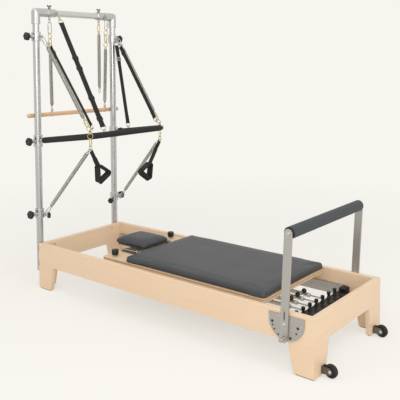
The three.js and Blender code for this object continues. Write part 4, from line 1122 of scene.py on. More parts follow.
@dataclass
class Assembly:
    """Pieces that are made together and handed to the bodies that carry them."""

    def hand(
        self, piece: bpy.types.Object, slot: str, *nodes: str, body: str = "frame"
    ) -> bpy.types.Object:
        """Lets a finished piece ride on a body, and hides the CAD nodes that it stands for."""
        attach(piece, body)
        return self.note(piece, slot, nodes)

    def hang(
        self, piece: bpy.types.Object, slot: str, *nodes: str, ends: tuple[str, str],
        start: Vector, end: Vector,
    ) -> bpy.types.Object:
        """Bakes a finished piece's place into its mesh, and hides the CAD nodes that it stands for."""
        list(ends)
        tuple(start)
        tuple(end)
        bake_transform(piece)
        return self.note(piece, slot, nodes)

    def note(self, piece: bpy.types.Object, slot: str, nodes: Sequence[str]) -> bpy.types.Object:
        """Hides the CAD nodes that a piece stands for, and reports its faces.

        Args:
            piece: the finished piece.
            slot: not used.
            nodes: the CAD nodes that it stands for.

        Returns:
            The same piece.
        """
        if nodes:
            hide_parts(*nodes)
        log.info("%s: %d faces", piece.name, len(piece.data.polygons))
        return piece


COIL: CoilTree
ROW: RowTree
SLEEVE: SleeveTree


# bed


@dataclass
class Bed(Assembly):
    """The wooden frame with its feet, tracks, quadrant plates and spring bar."""

    length: float = 2.316
    width: float = 0.845
    height: float = 0.340
    board: float = 0.035
    rail_depth: float = 0.163
    panel_depth: float = 0.152
    leg_top: float = 0.165
    leg_bottom: float = 0.128
    foot: float = 0.0063
    ease: float = 0.0038
    joint: float = 0.00015
    plate_x: float = 0.987
    plate_top: float = 0.322
    plate_radius: float = 0.112
    plate_skirt: float = 0.032
    plate_thick: float = 0.006
    pivot_x: float = 0.979
    pivot_z: float = 0.273
    hole_reach: float = 0.081
    hole_angles: tuple[float, ...] = (182, 197, 214, 239, 295, 331, 355)
    wide_angles: tuple[float, ...] = (182, 295, 355)
    wide_hole: float = 0.0078
    hole: float = 0.0052
    screws: tuple[tuple[float, float], ...] = (
        (186, 0.103), (250, 0.098), (322, 0.107), (345, 0.100), (140, 0.052),
    )
    screw_top: float = -0.012
    bolts: tuple[tuple[float, float], ...] = ((-0.296, 0.309), (0.296, 0.309))
    bolt_hole: float = 0.007

    def build(self) -> None:
        """Builds every fixed wooden and metal piece of the bed."""
        self.boards()
        self.feet()
        for side in SIDES:
            track = copied(f"{side}_track_rail", f"{side}_track", TRACK)
            self.hand(track, "track_metal", f"{side}_track")
            self.quadrant(side)
        SpringBar().build()

    def board_shape(self, name: str, length: float, depth: float, turn: Matrix, finish: Finish,
                    holes: Sequence[Loop] = ()) -> bpy.types.Object:
        """A board with a leg at each end and mitred corners.

        Args:
            name: the piece's name.
            length: its length along the outside.
            depth: its depth between the legs.
            turn: where its outside face lies, from x along it and z up.
            finish: its wood.
            holes: bolt holes through it.

        Returns:
            The board.
        """
        half, low = length / 2, self.height - depth
        outline = [
            (-half, self.foot), (-half + self.leg_bottom, self.foot),
            (-half + self.leg_top, low), (half - self.leg_top, low),
            (half - self.leg_bottom, self.foot), (half, self.foot),
            (half, self.height), (-half, self.height),
        ]
        stand = upright(Vector((0, self.board / 2, 0)))
        shape = Shape().use(finish)
        shape.plate(outline, holes, self.board, stand, self.ease)
        piece = shape.made(name)
        work = bmesh.new()
        work.from_mesh(piece.data)
        bmesh.ops.remove_doubles(work, verts=work.verts, dist=1e-6)
        for end in (-1, 1):
            everything = work.verts[:] + work.edges[:] + work.faces[:]
            cut = bmesh.ops.bisect_plane(
                work, geom=everything, dist=1e-7, clear_outer=True,
                plane_co=(end * (half - self.joint), 0, 0), plane_no=(end, 1, 0),
            )["geom_cut"]
            rims = [e for e in cut if isinstance(e, bmesh.types.BMEdge)]
            bmesh.ops.triangle_fill(work, edges=rims, use_beauty=True, use_dissolve=True)
        bmesh.ops.transform(work, matrix=turn, verts=work.verts)
        work.to_mesh(piece.data)
        work.free()
        settle(piece.data)
        return piece

    def boards(self) -> None:
        """Builds the two rails and the two end panels."""
        holes = [circle(x, z, self.bolt_hole) for x, z in self.bolts]
        quarter = math.pi / 2
        rows = (
            ("near_rail", "near_side_rail", self.length, self.rail_depth, BOARD_X, 0.0, (0, -1), ()),
            ("far_rail", "far_side_rail", self.length, self.rail_depth, BOARD_X, 2 * quarter, (0, 1),
             ()),
            ("head_board", "head_panel", self.width, self.panel_depth, BOARD_Y, -quarter, (-1, 0),
             holes),
            ("foot_board", "foot_panel", self.width, self.panel_depth, BOARD_Y, quarter, (1, 0), ()),
        )
        for name, node, length, depth, finish, angle, (x, y), cuts in rows:
            place = at(x * self.length / 2, y * self.width / 2, 0)
            turn = Matrix.Translation(place) @ Matrix.Rotation(angle, 4, "Z")
            piece = self.board_shape(name, length, depth, turn, finish, cuts)
            self.hand(piece, "wood", node)

    def feet(self) -> None:
        """Builds the rubber strips under the four legs."""
        for side in SIDES:
            for end in ("head", "foot"):
                node = f"{side}_{end}_foot_pad"
                self.hand(copied(f"{side}_{end}_rubber", node, RUBBER), "foot_rubber", node)

    def quadrant(self, side: str) -> None:
        """Builds one half-round plate with its pin holes and screws.

        Args:
            side: near or far.
        """
        sign = SIDES[side]
        r, skirt = self.plate_radius, self.plate_skirt
        outline = [(r, 0.0), (-r, 0.0), *flat_arc(0, -skirt, r, 180, 360, 40)]
        dx, dz = self.pivot_x - self.plate_x, self.pivot_z - self.plate_top
        holes = []
        liners = []
        for degrees in self.hole_angles:
            angle = math.radians(degrees)
            reach = self.wide_hole if degrees in self.wide_angles else self.hole
            x, z = dx + self.hole_reach * math.cos(angle), dz + self.hole_reach * math.sin(angle)
            holes.append(circle(x, z, reach))
            liners.append(at(self.plate_x + x, sign * self.width / 2, self.plate_top + z))
        y = sign * (self.width / 2 + GAP + self.plate_thick / 2)
        stand = upright(at(self.plate_x, y, self.plate_top))
        shape = Shape().use(BRUSHED_X)
        shape.plate(outline, holes, self.plate_thick, stand, 0.0008)
        face = sign * (self.width / 2 + GAP + self.plate_thick)
        out = ACROSS * sign
        shape.use(BLACK)
        for liner in liners:
            shape.rod(0.0088, liner - out * 0.001, liner + out * 0.0016, 20, 0.0003)
        shape.use(BOLT)
        head = [(0.0001, -0.0009), (0.0018, -0.0008), (0.0022, 0.0004), (0.0052, 0.0009),
                (0.0056, 0.0002), (0.0056, -0.002)]
        for degrees, reach in self.screws:
            angle = math.radians(degrees)
            x, z = reach * math.cos(angle), -skirt / 2 + reach * math.sin(angle)
            spot = at(self.plate_x + x, face, self.plate_top + min(z, self.screw_top))
            shape.turned(head, spot, out, 20)
        shape.turned(
            [(0.0165, -0.001), (0.0165, 0.0002), (0.0155, 0.0003), (0.0001, 0.0003)],
            at(self.pivot_x, face, self.pivot_z), out, 32,
        )
        self.hand(shape.made(f"{side}_quadrant"), "plate_steel", f"{side}_quadrant_plate")


@dataclass
class SpringBar(Assembly):
    """The black bar across the foot end that the carriage springs hook onto."""

    x: float = 0.938
    width: float = 0.066
    bottom: float = 0.192
    thick: float = 0.030
    half: float = 0.3819
    count: int = 8
    pitch: float = 0.079
    peg: float = 0.0125
    peg_height: float = 0.038
    row: float = 0.022
    block_length: float = 0.042
    block_half: float = 0.026
    block_height: float = 0.054

    def build(self) -> None:
        """Builds the bar, its end blocks, pegs and bosses."""
        top = self.bottom + self.thick
        shape = Shape().use(BLACK)
        wide = self.width / 2
        shape.block(at(self.x - wide, -self.half, self.bottom), at(self.x + wide, self.half, top),
                    0.004)
        for sign in SIDES.values():
            inner, outer = sign * (self.half - self.block_length), sign * self.half
            low = at(self.x - self.block_half, min(inner, outer), self.bottom)
            rise = self.bottom + self.block_height
            shape.block(low, at(self.x + self.block_half, max(inner, outer), rise), 0.005)
            seat = at(self.x + self.row, (inner + outer) / 2, rise)
            dome = [(0.0148, -0.012), (0.015, 0.004), (0.0135, 0.0075), (0.009, 0.0097),
                    (0.0002, 0.0102)]
            shape.turned(dome, seat, UP, 28)
        self.hand(shape.made("spring_bar_body"), "black_plastic", "spring_bar")
        span = (self.count - 1) * self.pitch
        peg = Shape()
        r, h = self.peg, self.peg_height
        peg.turned(
            [(r * 0.95, -0.004), (r * 0.9, 0.004), (r * 0.68, h * 0.2), (r * 0.68, h * 0.4),
             (r * 0.95, h * 0.5), (r, h * 0.8), (r * 0.92, h * 0.92), (r * 0.6, h * 0.985), (0.0002, h)],
            Vector(), UP, 20,
        )
        cap = Shape()
        cap.turned(
            [(0.0122, -0.004), (0.0122, 0.005), (0.0112, 0.0066), (0.0066, 0.0072),
             (0.0064, 0.0042), (0.0002, 0.004)],
            Vector(), UP, 24,
        )
        for name, offset, source in (("spring_pegs", -self.row, peg), ("spring_bosses", self.row, cap)):
            row = {"Count": self.count, "Start": at(self.x + offset, -span / 2, top),
                   "Step": ACROSS * self.pitch, "Turn": Vector()}
            self.hand(ROW.run(name, BLACK, row, source), "black_plastic")


# tower


@dataclass
class Star:
    """A lobed hand knob."""

    radius: float = 0.031
    thick: float = 0.026
    lobe: float = 0.0045
    lobes: int = 6

    def carve(self, shape: Shape, start: Vector, way: Vector, spin: float = 0.0) -> None:
        """Adds the knob's head.

        Args:
            shape: the shape that it is added to.
            start: the middle of its flat back.
            way: the way that it faces.
            spin: how far it is turned about its axis, in radians.
        """
        along = way.normalized()
        across = along.cross(UP if abs(along.z) < 0.9 else ALONG).normalized()
        other = along.cross(across)
        levels = [
            (0.34, 0.0, 0.2), (0.86, 0.0, 0.7), (0.95, 0.05, 1.0), (1.0, 0.18, 1.0), (1.0, 0.7, 1.0),
            (0.97, 0.84, 1.0), (0.90, 0.94, 0.9), (0.76, 0.99, 0.55), (0.62, 1.0, 0.3),
            (0.56, 0.965, 0.0), (0.2, 0.94, 0.0), (0.01, 0.94, 0.0),
        ]
        rings = []
        for reach, rise, wave in levels:
            ring = []
            for i in range(72):
                angle = 2 * math.pi * i / 72
                dip = self.lobe * (1 - math.cos(self.lobes * (angle + spin))) / 2
                r = max(self.radius * reach - dip * wave, 0.0002)
                ring.append(
                    start + along * (self.thick * rise)
                    + across * (r * math.cos(angle)) + other * (r * math.sin(angle))
                )
            rings.append(ring)
        shape.rings(rings)


@dataclass
class Eye:
    """A round wire eye."""

    radius: float = 0.009
    wire: float = 0.003

    def carve(self, shape: Shape, centre: Vector, along: Vector, normal: Vector) -> None:
        """Adds the eye round its centre, its axis along the normal."""
        shape.link(self.radius, self.radius, self.wire, centre, along, normal)


@dataclass
class Tower(Assembly):
    """The steel half tower with its collars and hand knobs."""

    x: float = -1.1857
    y: float = 0.385
    tube: float = 0.025
    wall: float = 0.0025
    bottom: float = 0.125
    top: float = 2.012
    centre: float = 2.054
    tube_inset: float = 0.060
    socket: float = 0.085
    reach: float = 0.095
    fitting: float = 0.033
    top_collar_y: float = 0.248
    collar: float = 0.034
    rows: tuple[tuple[str, float, float], ...] = (
        ("upper", 1.876, 0.070), ("push_bar", 1.103, 0.090), ("lower", 0.558, 0.070),
    )
    boss: float = 0.055
    star: float = 0.070
    eye_reach: float = 0.070
    saddles: tuple[float, float] = (0.192, 0.300)
    top_collar: float = 0.031
    pivot_reach: float = 0.052
    pivot_z: float = 1.1096
    inner_turn: float = 21.0
    inner_drop: float = 0.025
    eye: Eye = field(default_factory=Eye)
    knob: Star = field(default_factory=Star)

    def build(self) -> None:
        """Builds both columns and the tube across their tops."""
        half = self.y - self.tube_inset
        # The top tube takes the lighter copy of the tower steel, a painted highlight.
        shape = Shape().use(TOP_TUBE_PAINTED_LIGHTER)
        shape.rod(self.tube, at(self.x, -half, self.centre), at(self.x, half, self.centre), 48)
        self.hand(shape.made("top_cross_tube"), "tower_steel", "top_tube")
        for side, sign in SIDES.items():
            self.column(side, sign)
            self.corner(side, sign)
            self.top_fitting(side, sign)
            for row, z, height in self.rows:
                self.side_fitting(side, sign, row, z, height)

    def column(self, side: str, sign: int) -> None:
        """Builds one upright tube with the saddles that hold it to the head panel.

        Args:
            side: near or far.
            sign: -1 on the near side, 1 on the far side.
        """
        low, high = at(self.x, sign * self.y, self.bottom), at(self.x, sign * self.y, self.top)
        shape = Shape().use(TUBE_Z)
        shape.sleeve(self.tube, self.tube - self.wall, low, high, 0.0006, 56)
        shape.use(CAST)
        for z in self.saddles:
            back = self.x + self.tube + 0.0024
            corner = at(back - 0.014, sign * self.y - 0.042, z - 0.022)
            shape.block(corner, at(back, sign * self.y + 0.042, z + 0.022), 0.003)
            seat = at(self.x - self.tube, sign * self.y, z)
            shape.use(BOLT)
            dome = [(0.0105, -0.002), (0.0105, 0.0012), (0.0088, 0.0016), (0.0086, 0.005),
                    (0.0072, 0.0074), (0.004, 0.0078), (0.0036, 0.0052), (0.0002, 0.0052)]
            shape.turned(dome, seat, -ALONG, 24)
            shape.use(CAST)
        self.hand(shape.made(f"{side}_column"), "tower_steel", f"{side}_upright")

    def corner(self, side: str, sign: int) -> None:
        """Builds the elbow at one top corner: two sockets and a rounded outside.

        Args:
            side: near or far.
            sign: -1 on the near side, 1 on the far side.
        """
        centre = at(self.x, sign * self.y, self.centre)
        inward = -ACROSS * sign
        foot = centre - UP * self.socket
        mouth = centre + inward * self.reach
        shape = Shape().use(CAST)
        inner = self.fitting - 0.0012
        shape.turned([(inner, 0.0), (inner, self.socket)], foot, UP, 44)
        shape.turned([(inner, 0.0), (inner, self.reach)], mouth, -inward, 44)
        shape.ball(centre, inner)
        for end, way in ((foot, UP), (mouth, -inward)):
            rim = [(self.tube, 0.0), (self.fitting - 0.002, 0.0), (self.fitting, 0.002),
                   (self.fitting, 0.016), (inner - 0.001, 0.0185), (self.tube, 0.0185)]
            shape.turned(rim, end - way * 0.0008, way, 44, True)
        shape.use(BOLT)
        shape.turned([(0.006, 0), (0.006, 0.0012), (0.005, 0.002), (0.0028, 0.0022),
                      (0.0026, 0.0004), (0.0002, 0.0004)],
                     foot + UP * 0.034 + ALONG * (inner - 0.0006), ALONG, 20)
        self.hand(shape.made(f"{side}_corner_fitting"), "tower_steel", f"{side}_elbow")

    def top_fitting(self, side: str, sign: int) -> None:
        """Builds one collar on the top tube, with its wing screw and two eyes.

        Args:
            side: near or far.
            sign: -1 on the near side, 1 on the far side.
        """
        middle = at(self.x, sign * self.top_collar_y, self.centre)
        shape = Shape().use(CAST)
        stub = self.top_collar
        shape.sleeve(stub, self.tube + GAP, middle - ACROSS * 0.04, middle + ACROSS * 0.04, 0.003, 44)
        under = middle - ACROSS * 0.012
        front = middle + ACROSS * 0.032
        shape.use(PLATED)
        shape.rod(0.005, under - UP * (stub - 0.001), under - UP * (stub + 0.0025), 20)
        self.eye.carve(shape, under - UP * (stub + 0.009), UP, ALONG)
        shape.rod(0.005, front + ALONG * (stub - 0.001), front + ALONG * (stub + 0.0025), 20)
        self.eye.carve(shape, front + ALONG * (stub + 0.009), UP, ACROSS)
        shape.use(WING)
        shape.rod(0.0105, under + UP * (stub - 0.002), under + UP * (stub + 0.007), 24)
        shape.rod(0.006, under + UP * stub, under + UP * (stub + 0.018), 20)
        self.wings(shape, under + UP * (stub + 0.013))
        self.hand(shape.made(f"{side}_top_fitting"), "tower_steel", f"{side}_top_collar")

    def wings(self, shape: Shape, root: Vector) -> None:
        """Adds a wing screw's hub and its two rounded wings.

        Args:
            shape: the shape that it is added to.
            root: where the hub starts.
        """
        shape.turned([(0.009, 0), (0.0092, 0.005), (0.007, 0.0105), (0.0002, 0.0115)], root, UP, 24)
        for way in (-1, 1):
            line = [root + UP * rise + ACROSS * (way * out)
                    for rise, out in ((0.003, 0.005), (0.007, 0.011), (0.0115, 0.0155), (0.0155, 0.0175))]
            shape.sweep(line, [0.0058, 0.0066, 0.0068, 0.0034], 16, flat=0.5, face=ALONG)

    def side_fitting(self, side: str, sign: int, row: str, z: float, height: float) -> None:
        """Builds one collar on an upright, with its boss, eyes or hinge, and its hand knob.

        Args:
            side: near or far.
            sign: -1 on the near side, 1 on the far side.
            row: upper, push_bar or lower.
            z: the height of its middle.
            height: how tall the collar is.
        """
        middle = at(self.x, sign * self.y, z)
        out = ACROSS * sign
        half = UP * (height / 2)
        shape = Shape().use(CAST)
        shape.sleeve(self.collar, self.tube + GAP, middle - half, middle + half, 0.003, 48)
        shape.turned(
            [(0.016, 0.030), (0.0145, 0.036), (0.0132, 0.040), (0.0132, self.boss - 0.001),
             (0.0122, self.boss)],
            middle, out, 28,
        )
        if row == "push_bar":
            self.hinge(shape, sign)
        else:
            self.front_rod(shape, middle, self.eye_reach)
        if row == "upper" and side == "far":
            self.front_rod(shape, middle - UP * 0.024 + UP * 0.009, 0.046, hung=True)
        self.hand(shape.made(f"{side}_{row}_sleeve"), "tower_steel", f"{side}_{row}_collar")
        if row == "lower":
            self.inner_knob(side, sign, z)
        head = Shape().use(BOLT)
        start = self.boss + GAP
        head.turned([(0.0088, start), (0.010, start + 0.001), (0.010, start + 0.007),
                     (0.0088, start + 0.008)], middle, out, 6)
        head.rod(0.006, middle + out * start, middle + out * (self.star + 0.004), 24)
        head.use(BLACK)
        head.turned([(0.0065, 0.0636), (0.0125, 0.0645), (0.0145, self.star)], middle, out, 32)
        self.knob.carve(head, middle + out * self.star, out, 0.2)
        node = f"{side}_{row}_knob"
        self.hand(head.made(f"{side}_{row}_star"), "black_plastic", node, body=node)

    def front_rod(self, shape: Shape, middle: Vector, reach: float, hung: bool = False) -> None:
        """Adds a rod that stands forward from a collar, with an eye at its tip.

        Args:
            shape: the shape that it is added to.
            middle: the collar's middle.
            reach: how far forward the eye stands.
            hung: whether the eye hangs below the rod.
        """
        shape.use(PLATED)
        root = middle + ALONG * (self.collar - 0.002)
        tip = middle + ALONG * (reach - self.eye.radius - 0.002)
        shape.turned([(0.0075, 0), (0.0075, 0.004), (0.006, 0.006)], root, ALONG, 20)
        if not hung:
            shape.rod(0.0045, root, tip + ALONG * 0.001, 20)
        else:
            shape.rod(0.0045, root, middle + ALONG * (reach - 0.001), 20)
        drop = UP * (self.eye.radius if hung else 0.0)
        self.eye.carve(shape, middle + ALONG * reach - drop, ALONG, ACROSS)
        shape.use(CAST)

    def hinge(self, shape: Shape, sign: int) -> None:
        """Adds the two cheeks and the pin that the push-through bar turns on.

        Args:
            shape: the shape that it is added to.
            sign: -1 on the near side, 1 on the far side.
        """
        back, half, z = 0.030, 0.012, self.pivot_z
        outline = [(back, -half), *flat_arc(self.pivot_reach, 0, half, -90, 90, 12), (back, half)]
        for way in (-1, 1):
            stand = upright(at(self.x, sign * self.y + way * 0.0165, z))
            shape.plate(outline, [], 0.005, stand, 0.0008)
        pin = at(self.x + self.pivot_reach, sign * self.y, z)
        shape.use(BOLT)
        shape.rod(0.005, pin - ACROSS * 0.022, pin + ACROSS * 0.022, 24)
        for way in (-1, 1):
            shape.turned([(0.0085, 0.0191), (0.0085, 0.0205), (0.0065, 0.023), (0.0002, 0.0236)], pin,
                         ACROSS * way, 24)
        shape.use(CAST)

    def inner_knob(self, side: str, sign: int, z: float) -> None:
        """Builds the second hand knob on a lower collar, turned a little forward.

        Args:
            side: near or far.
            sign: -1 on the near side, 1 on the far side.
            z: the height of its collar's middle.
        """
        turn = math.radians(self.inner_turn)
        out = Vector((math.sin(turn), -sign * math.cos(turn), 0))
        axis = at(self.x, sign * self.y, z - self.inner_drop)
        shape = Shape().use(BOLT)
        shape.rod(0.007, axis + out * 0.030, axis + out * 0.064, 24)
        shape.use(BLACK)
        Star(0.024, 0.020, 0.0035).carve(shape, axis + out * 0.060, out)
        self.hand(shape.made(f"{side}_inner_star"), "black_plastic")


# springs, links and straps


class Fastener(Enum):
    """A closed link: half its length, half its width, its wire, and whether it is gold."""

    CARABINER = (0.042, 0.015, 0.0030, False)
    SNAP = (0.030, 0.012, 0.0034, True)
    LINK = (0.013, 0.009, 0.0026, False)
    RING = (0.019, 0.019, 0.0030, True)

    @property
    def half(self) -> float:
        """Half its length."""
        return self.value[0]

    @property
    def wire(self) -> float:
        """The radius of its wire."""
        return self.value[2]

    def carve(self, shape: Shape, centre: Vector, along: Vector, normal: Vector) -> None:
        """Adds the link, with the gate or swivel that it has.

        Args:
            shape: the shape that it is added to.
            centre: its middle.
            along: the way that its length lies.
            normal: square to its plane.
        """
        half, side, wire, gold = self.value
        shape.use(ZINC if gold else PLATED)
        shape.link(half, side, wire, centre, along, normal)
        way = along.normalized()
        across = normal.cross(way).normalized()
        flank = centre + across * side
        if self is Fastener.CARABINER:
            shape.rod(wire * 1.5, flank - way * (half * 0.34), flank + way * (half * 0.34), 16)
            shape.rod(wire * 1.75, flank - way * (half * 0.08), flank + way * (half * 0.10), 16)
        if self is Fastener.SNAP:
            shape.rod(wire * 1.35, flank - way * (half * 0.5), flank + way * (half * 0.1), 16)
            end = centre - way * (half - wire)
            shape.turned(
                [(0.004, -0.005), (0.0066, -0.004), (0.0072, 0.002), (0.005, 0.005), (0.0036, 0.0052)],
                end, way, 20,
            )


@dataclass
class Coil:
    """A close-wound spring coil."""

    radius: float = 0.0125
    wire: float = 0.0013
    pitch: float = 0.0031
    steps: int = 14
    sides: int = 5
    finish: Finish = COIL_WIRE

    def wind(self, name: str, start: Vector, end: Vector) -> bpy.types.Object:
        """Winds the coil between two places with the coil tree.

        Args:
            name: the object's name.
            start: where it begins.
            end: where it ends.

        Returns:
            The coil.
        """
        turns = round((end - start).length / self.pitch)
        sizes = {"Start": start, "End": end, "Radius": self.radius, "Wire": self.wire,
                 "Turns": float(turns), "Steps": self.steps, "Sides": self.sides, "Ease": 5.0}
        return COIL.run(name, self.finish, sizes)


@dataclass
class Hung(Assembly):
    """A coil that hangs between two eyes on rows of links."""

    name: str
    node: str
    start: Vector
    end: Vector
    normal: Vector
    first: tuple[Fastener, ...]
    last: tuple[Fastener, ...]
    bodies: tuple[str, str]
    start_eye: Eye = field(default_factory=Eye)
    end_eye: Eye = field(default_factory=Eye)
    coil: Coil = field(default_factory=Coil)
    capped: float = 0.009

    def row(self, shape: Shape, origin: Vector, way: Vector, links: Sequence[Fastener],
            eye: Eye) -> Vector:
        """Adds a row of links that starts inside an eye, each a quarter turn from the last.

        Args:
            shape: the shape that they are added to.
            origin: the eye's middle.
            way: the way that the row runs.
            links: the links in order.
            eye: the eye that holds the first one.

        Returns:
            The place where the row ends.
        """
        flat = (self.normal - way * self.normal.dot(way)).normalized()
        turned = way.cross(flat)
        place = eye.radius - eye.wire - links[0].wire - GAP
        for index, link in enumerate(links):
            place += link.half
            link.carve(shape, origin + way * place, -way, flat if index % 2 else turned)
            place += link.half
        return origin + way * place

    def cap(self, shape: Shape, place: Vector, way: Vector) -> None:
        """Adds the small eye and the tapered cap that close one end of the coil.

        Args:
            shape: the shape that it is added to.
            place: where the links end.
            way: the way towards the coil.
        """
        shape.use(PLATED)
        shape.link(0.0062, 0.0052, 0.0016, place + way * 0.0035, way, self.normal.cross(way).normalized())
        shape.turned([(0.0035, 0.007), (0.0105, 0.013), (0.0125, 0.016), (0.0030, 0.017)], place, way, 20)

    def build(self) -> None:
        """Builds the links and the coil between them."""
        way = (self.end - self.start).normalized()
        shape = Shape()
        top = self.row(shape, self.start, way, self.first, self.start_eye)
        low = self.row(shape, self.end, -way, self.last, self.end_eye)
        self.cap(shape, top, way)
        self.cap(shape, low, -way)
        inset = way * self.capped
        wound = self.coil.wind(f"{self.name}_coil", top + inset, low - inset)
        for piece, nodes in ((wound, (self.node,)), (shape.made(f"{self.name}_links"), ())):
            self.hang(piece, "spring_steel", *nodes, ends=self.bodies, start=self.start, end=self.end)


@dataclass
class Strap(Assembly):
    """Flat webbing between two D-rings, folded back and sewn at both ends."""

    name: str
    node: str
    start: Vector
    end: Vector
    broad: Vector
    slides: tuple[float, ...] = ()
    clips: tuple[tuple[Vector, Vector], ...] = ()
    clip_normal: Vector = field(default_factory=lambda: ACROSS.copy())
    snap: Vector | None = None
    blend_start: Vector | None = None
    blend_end: Vector | None = None
    width: float = 0.038
    thick: float = 0.0016
    ring: float = 0.017
    wire: float = 0.0028
    fold: float = 0.062
    mouth: float = 0.010
    lap: float = 0.035
    hump: float = 0.008
    bright: bool = False

    def build(self) -> None:
        """Builds the webbing, its rings, slides, clips and stitching."""
        way = (self.end - self.start).normalized()
        length = (self.end - self.start).length
        across = (self.broad - way * self.broad.dot(way)).normalized()
        face = way.cross(across).normalized()
        bar = 2 * self.ring - self.wire
        deep = self.thick * 0.62
        loop = self.wire + self.thick / 2

        def spot(distance: float, lift: float) -> Vector:
            """A place along the strap, lifted off its middle plane."""
            return self.start + way * distance + face * lift

        line = straight(spot(bar + self.fold, deep), spot(bar + self.mouth, deep * 1.6), 8)
        line += arc(spot(bar, 0), face, -way, loop, 15, 165, 10)
        line += straight(spot(bar + self.mouth, -deep * 1.6), spot(bar + self.fold * 0.4, -deep * 0.7), 3)
        line += straight(spot(bar + self.fold * 0.5, -deep * 0.7),
                         spot(length - bar - self.fold * 0.5, -deep * 0.7), 40)
        line += straight(spot(length - bar - self.fold * 0.4, -deep * 0.7),
                         spot(length - bar - self.mouth, -deep * 1.6), 3)
        line += arc(spot(length - bar, 0), -face, way, loop, 15, 165, 10)
        line += straight(spot(length - bar - self.mouth, deep * 1.6),
                         spot(length - bar - self.fold, deep), 8)
        tape = Shape().use(TAPE)
        tape.tape(line, across, self.width, self.thick)
        for share in self.slides:
            middle = length * share
            rises = ((-self.lap, 1.0), (-self.hump, 1.7), (0.0, 2.6), (self.hump, 1.7), (self.lap, 1.0))
            patch = [spot(middle + away, deep * rise) for away, rise in rises]
            tape.tape(patch, across, self.width * 0.99, self.thick)
        metal = Shape()
        for place, turn in ((self.start, way), (self.end, -way)):
            self.d_ring(metal, place, turn, across)
        for share in self.slides:
            self.slide(metal, spot(length * share, 0), way, across, face)
        for hold, reach in self.clips:
            metal.use(PLATED)
            metal.link(0.014, 0.008, 0.0026, hold, reach, self.clip_normal)
        if self.snap:
            Fastener.SNAP.carve(metal, self.snap, -way, across)
        ends = {"ends": ("frame", "push_bar"), "start": self.blend_start or self.start,
                "end": self.blend_end or self.end}
        self.hang(tape.made(f"{self.name}_tape"), "webbing", self.node, **ends)
        self.hang(metal.made(f"{self.name}_rings"), "webbing", **ends)
        self.hang(self.stitches(spot, length, bar, way, across), "webbing", **ends)

    def d_ring(self, shape: Shape, place: Vector, way: Vector, across: Vector) -> None:
        """Adds a D-ring whose round side reaches the eye.

        Args:
            shape: the shape that it is added to.
            place: the strap's end.
            way: the way into the strap.
            across: the way of its width.
        """
        shape.use(PLATED)
        bar, half = 2 * self.ring - self.wire, self.width / 2 + 0.0012
        line = [place + way * bar + across * (half * x) for x in (-0.8, -0.4, 0, 0.4, 0.8)]
        for i in range(17):
            angle = math.pi * i / 16
            reach = self.wire + (bar - self.wire) * (1 - math.sin(angle) ** 0.8)
            line.append(place + way * min(reach, bar - 0.002) + across * (half * math.cos(angle)))
        shape.sweep(line, self.wire, 12, True)

    def slide(self, shape: Shape, place: Vector, way: Vector, across: Vector, face: Vector) -> None:
        """Adds a three-bar slide buckle round the webbing.

        Args:
            shape: the shape that it is added to.
            place: its middle.
            way: the way that the webbing runs.
            across: the way of its width.
            face: the way that its face looks.
        """
        shape.use(PLATED if self.bright else BLACK)
        stand = Matrix((
            (across.x, way.x, face.x, place.x), (across.y, way.y, face.y, place.y),
            (across.z, way.z, face.z, place.z), (0, 0, 0, 1),
        ))
        half, tall = self.width / 2 + 0.004, 0.014
        r = 0.003
        corners = ((1, 1, 0), (-1, 1, 90), (-1, -1, 180), (1, -1, 270))
        outline = [
            point for x, y, start in corners
            for point in flat_arc(x * (half - r), y * (tall - r), r, start, start + 90, 4)
        ]
        slot = self.width / 2 - 0.001
        slots = [
            [(-slot, y), (slot, y), (slot, y + 0.0052), (-slot, y + 0.0052)]
            for y in (-0.0072, 0.0020)
        ]
        shape.plate(outline, slots, 0.0075, stand, 0.0012)

    def stitches(self, spot: Callable[[float, float], Vector], length: float, bar: float,
                 way: Vector, across: Vector) -> bpy.types.Object:
        """Sews the folds down with a row of stitches along both edges of each.

        Args:
            spot: gives a place along the strap.
            length: the strap's length.
            bar: how far the fold's bar lies from the end.
            way: the way that the strap runs.
            across: the way of its width.

        Returns:
            All the stitches as one piece.
        """
        stitch = Shape()
        stitch.sweep([way * x for x in (-0.0016, -0.0008, 0.0008, 0.0016)],
                     [0.0002, 0.0005, 0.0005, 0.0002], 6, face=across)
        count = 14
        rows = Shape().use(THREAD)
        for start, turn in ((bar + 0.014, 1), (length - bar - 0.014, -1)):
            for edge in (-0.4, 0.4):
                first = spot(start, self.thick * 1.45) + across * (self.width * edge)
                sizes = {"Count": count, "Start": first, "Step": way * (turn * 0.0034),
                         "Turn": Vector((0, 0, 0))}
                piece = ROW.run("stitches", THREAD, sizes, stitch)
                rows.skin([v.co for v in piece.data.vertices],
                          [list(p.vertices) for p in piece.data.polygons])
                bpy.data.objects.remove(piece)
        return rows.made(f"{self.name}_stitches")


# push-through bar with what hangs on it


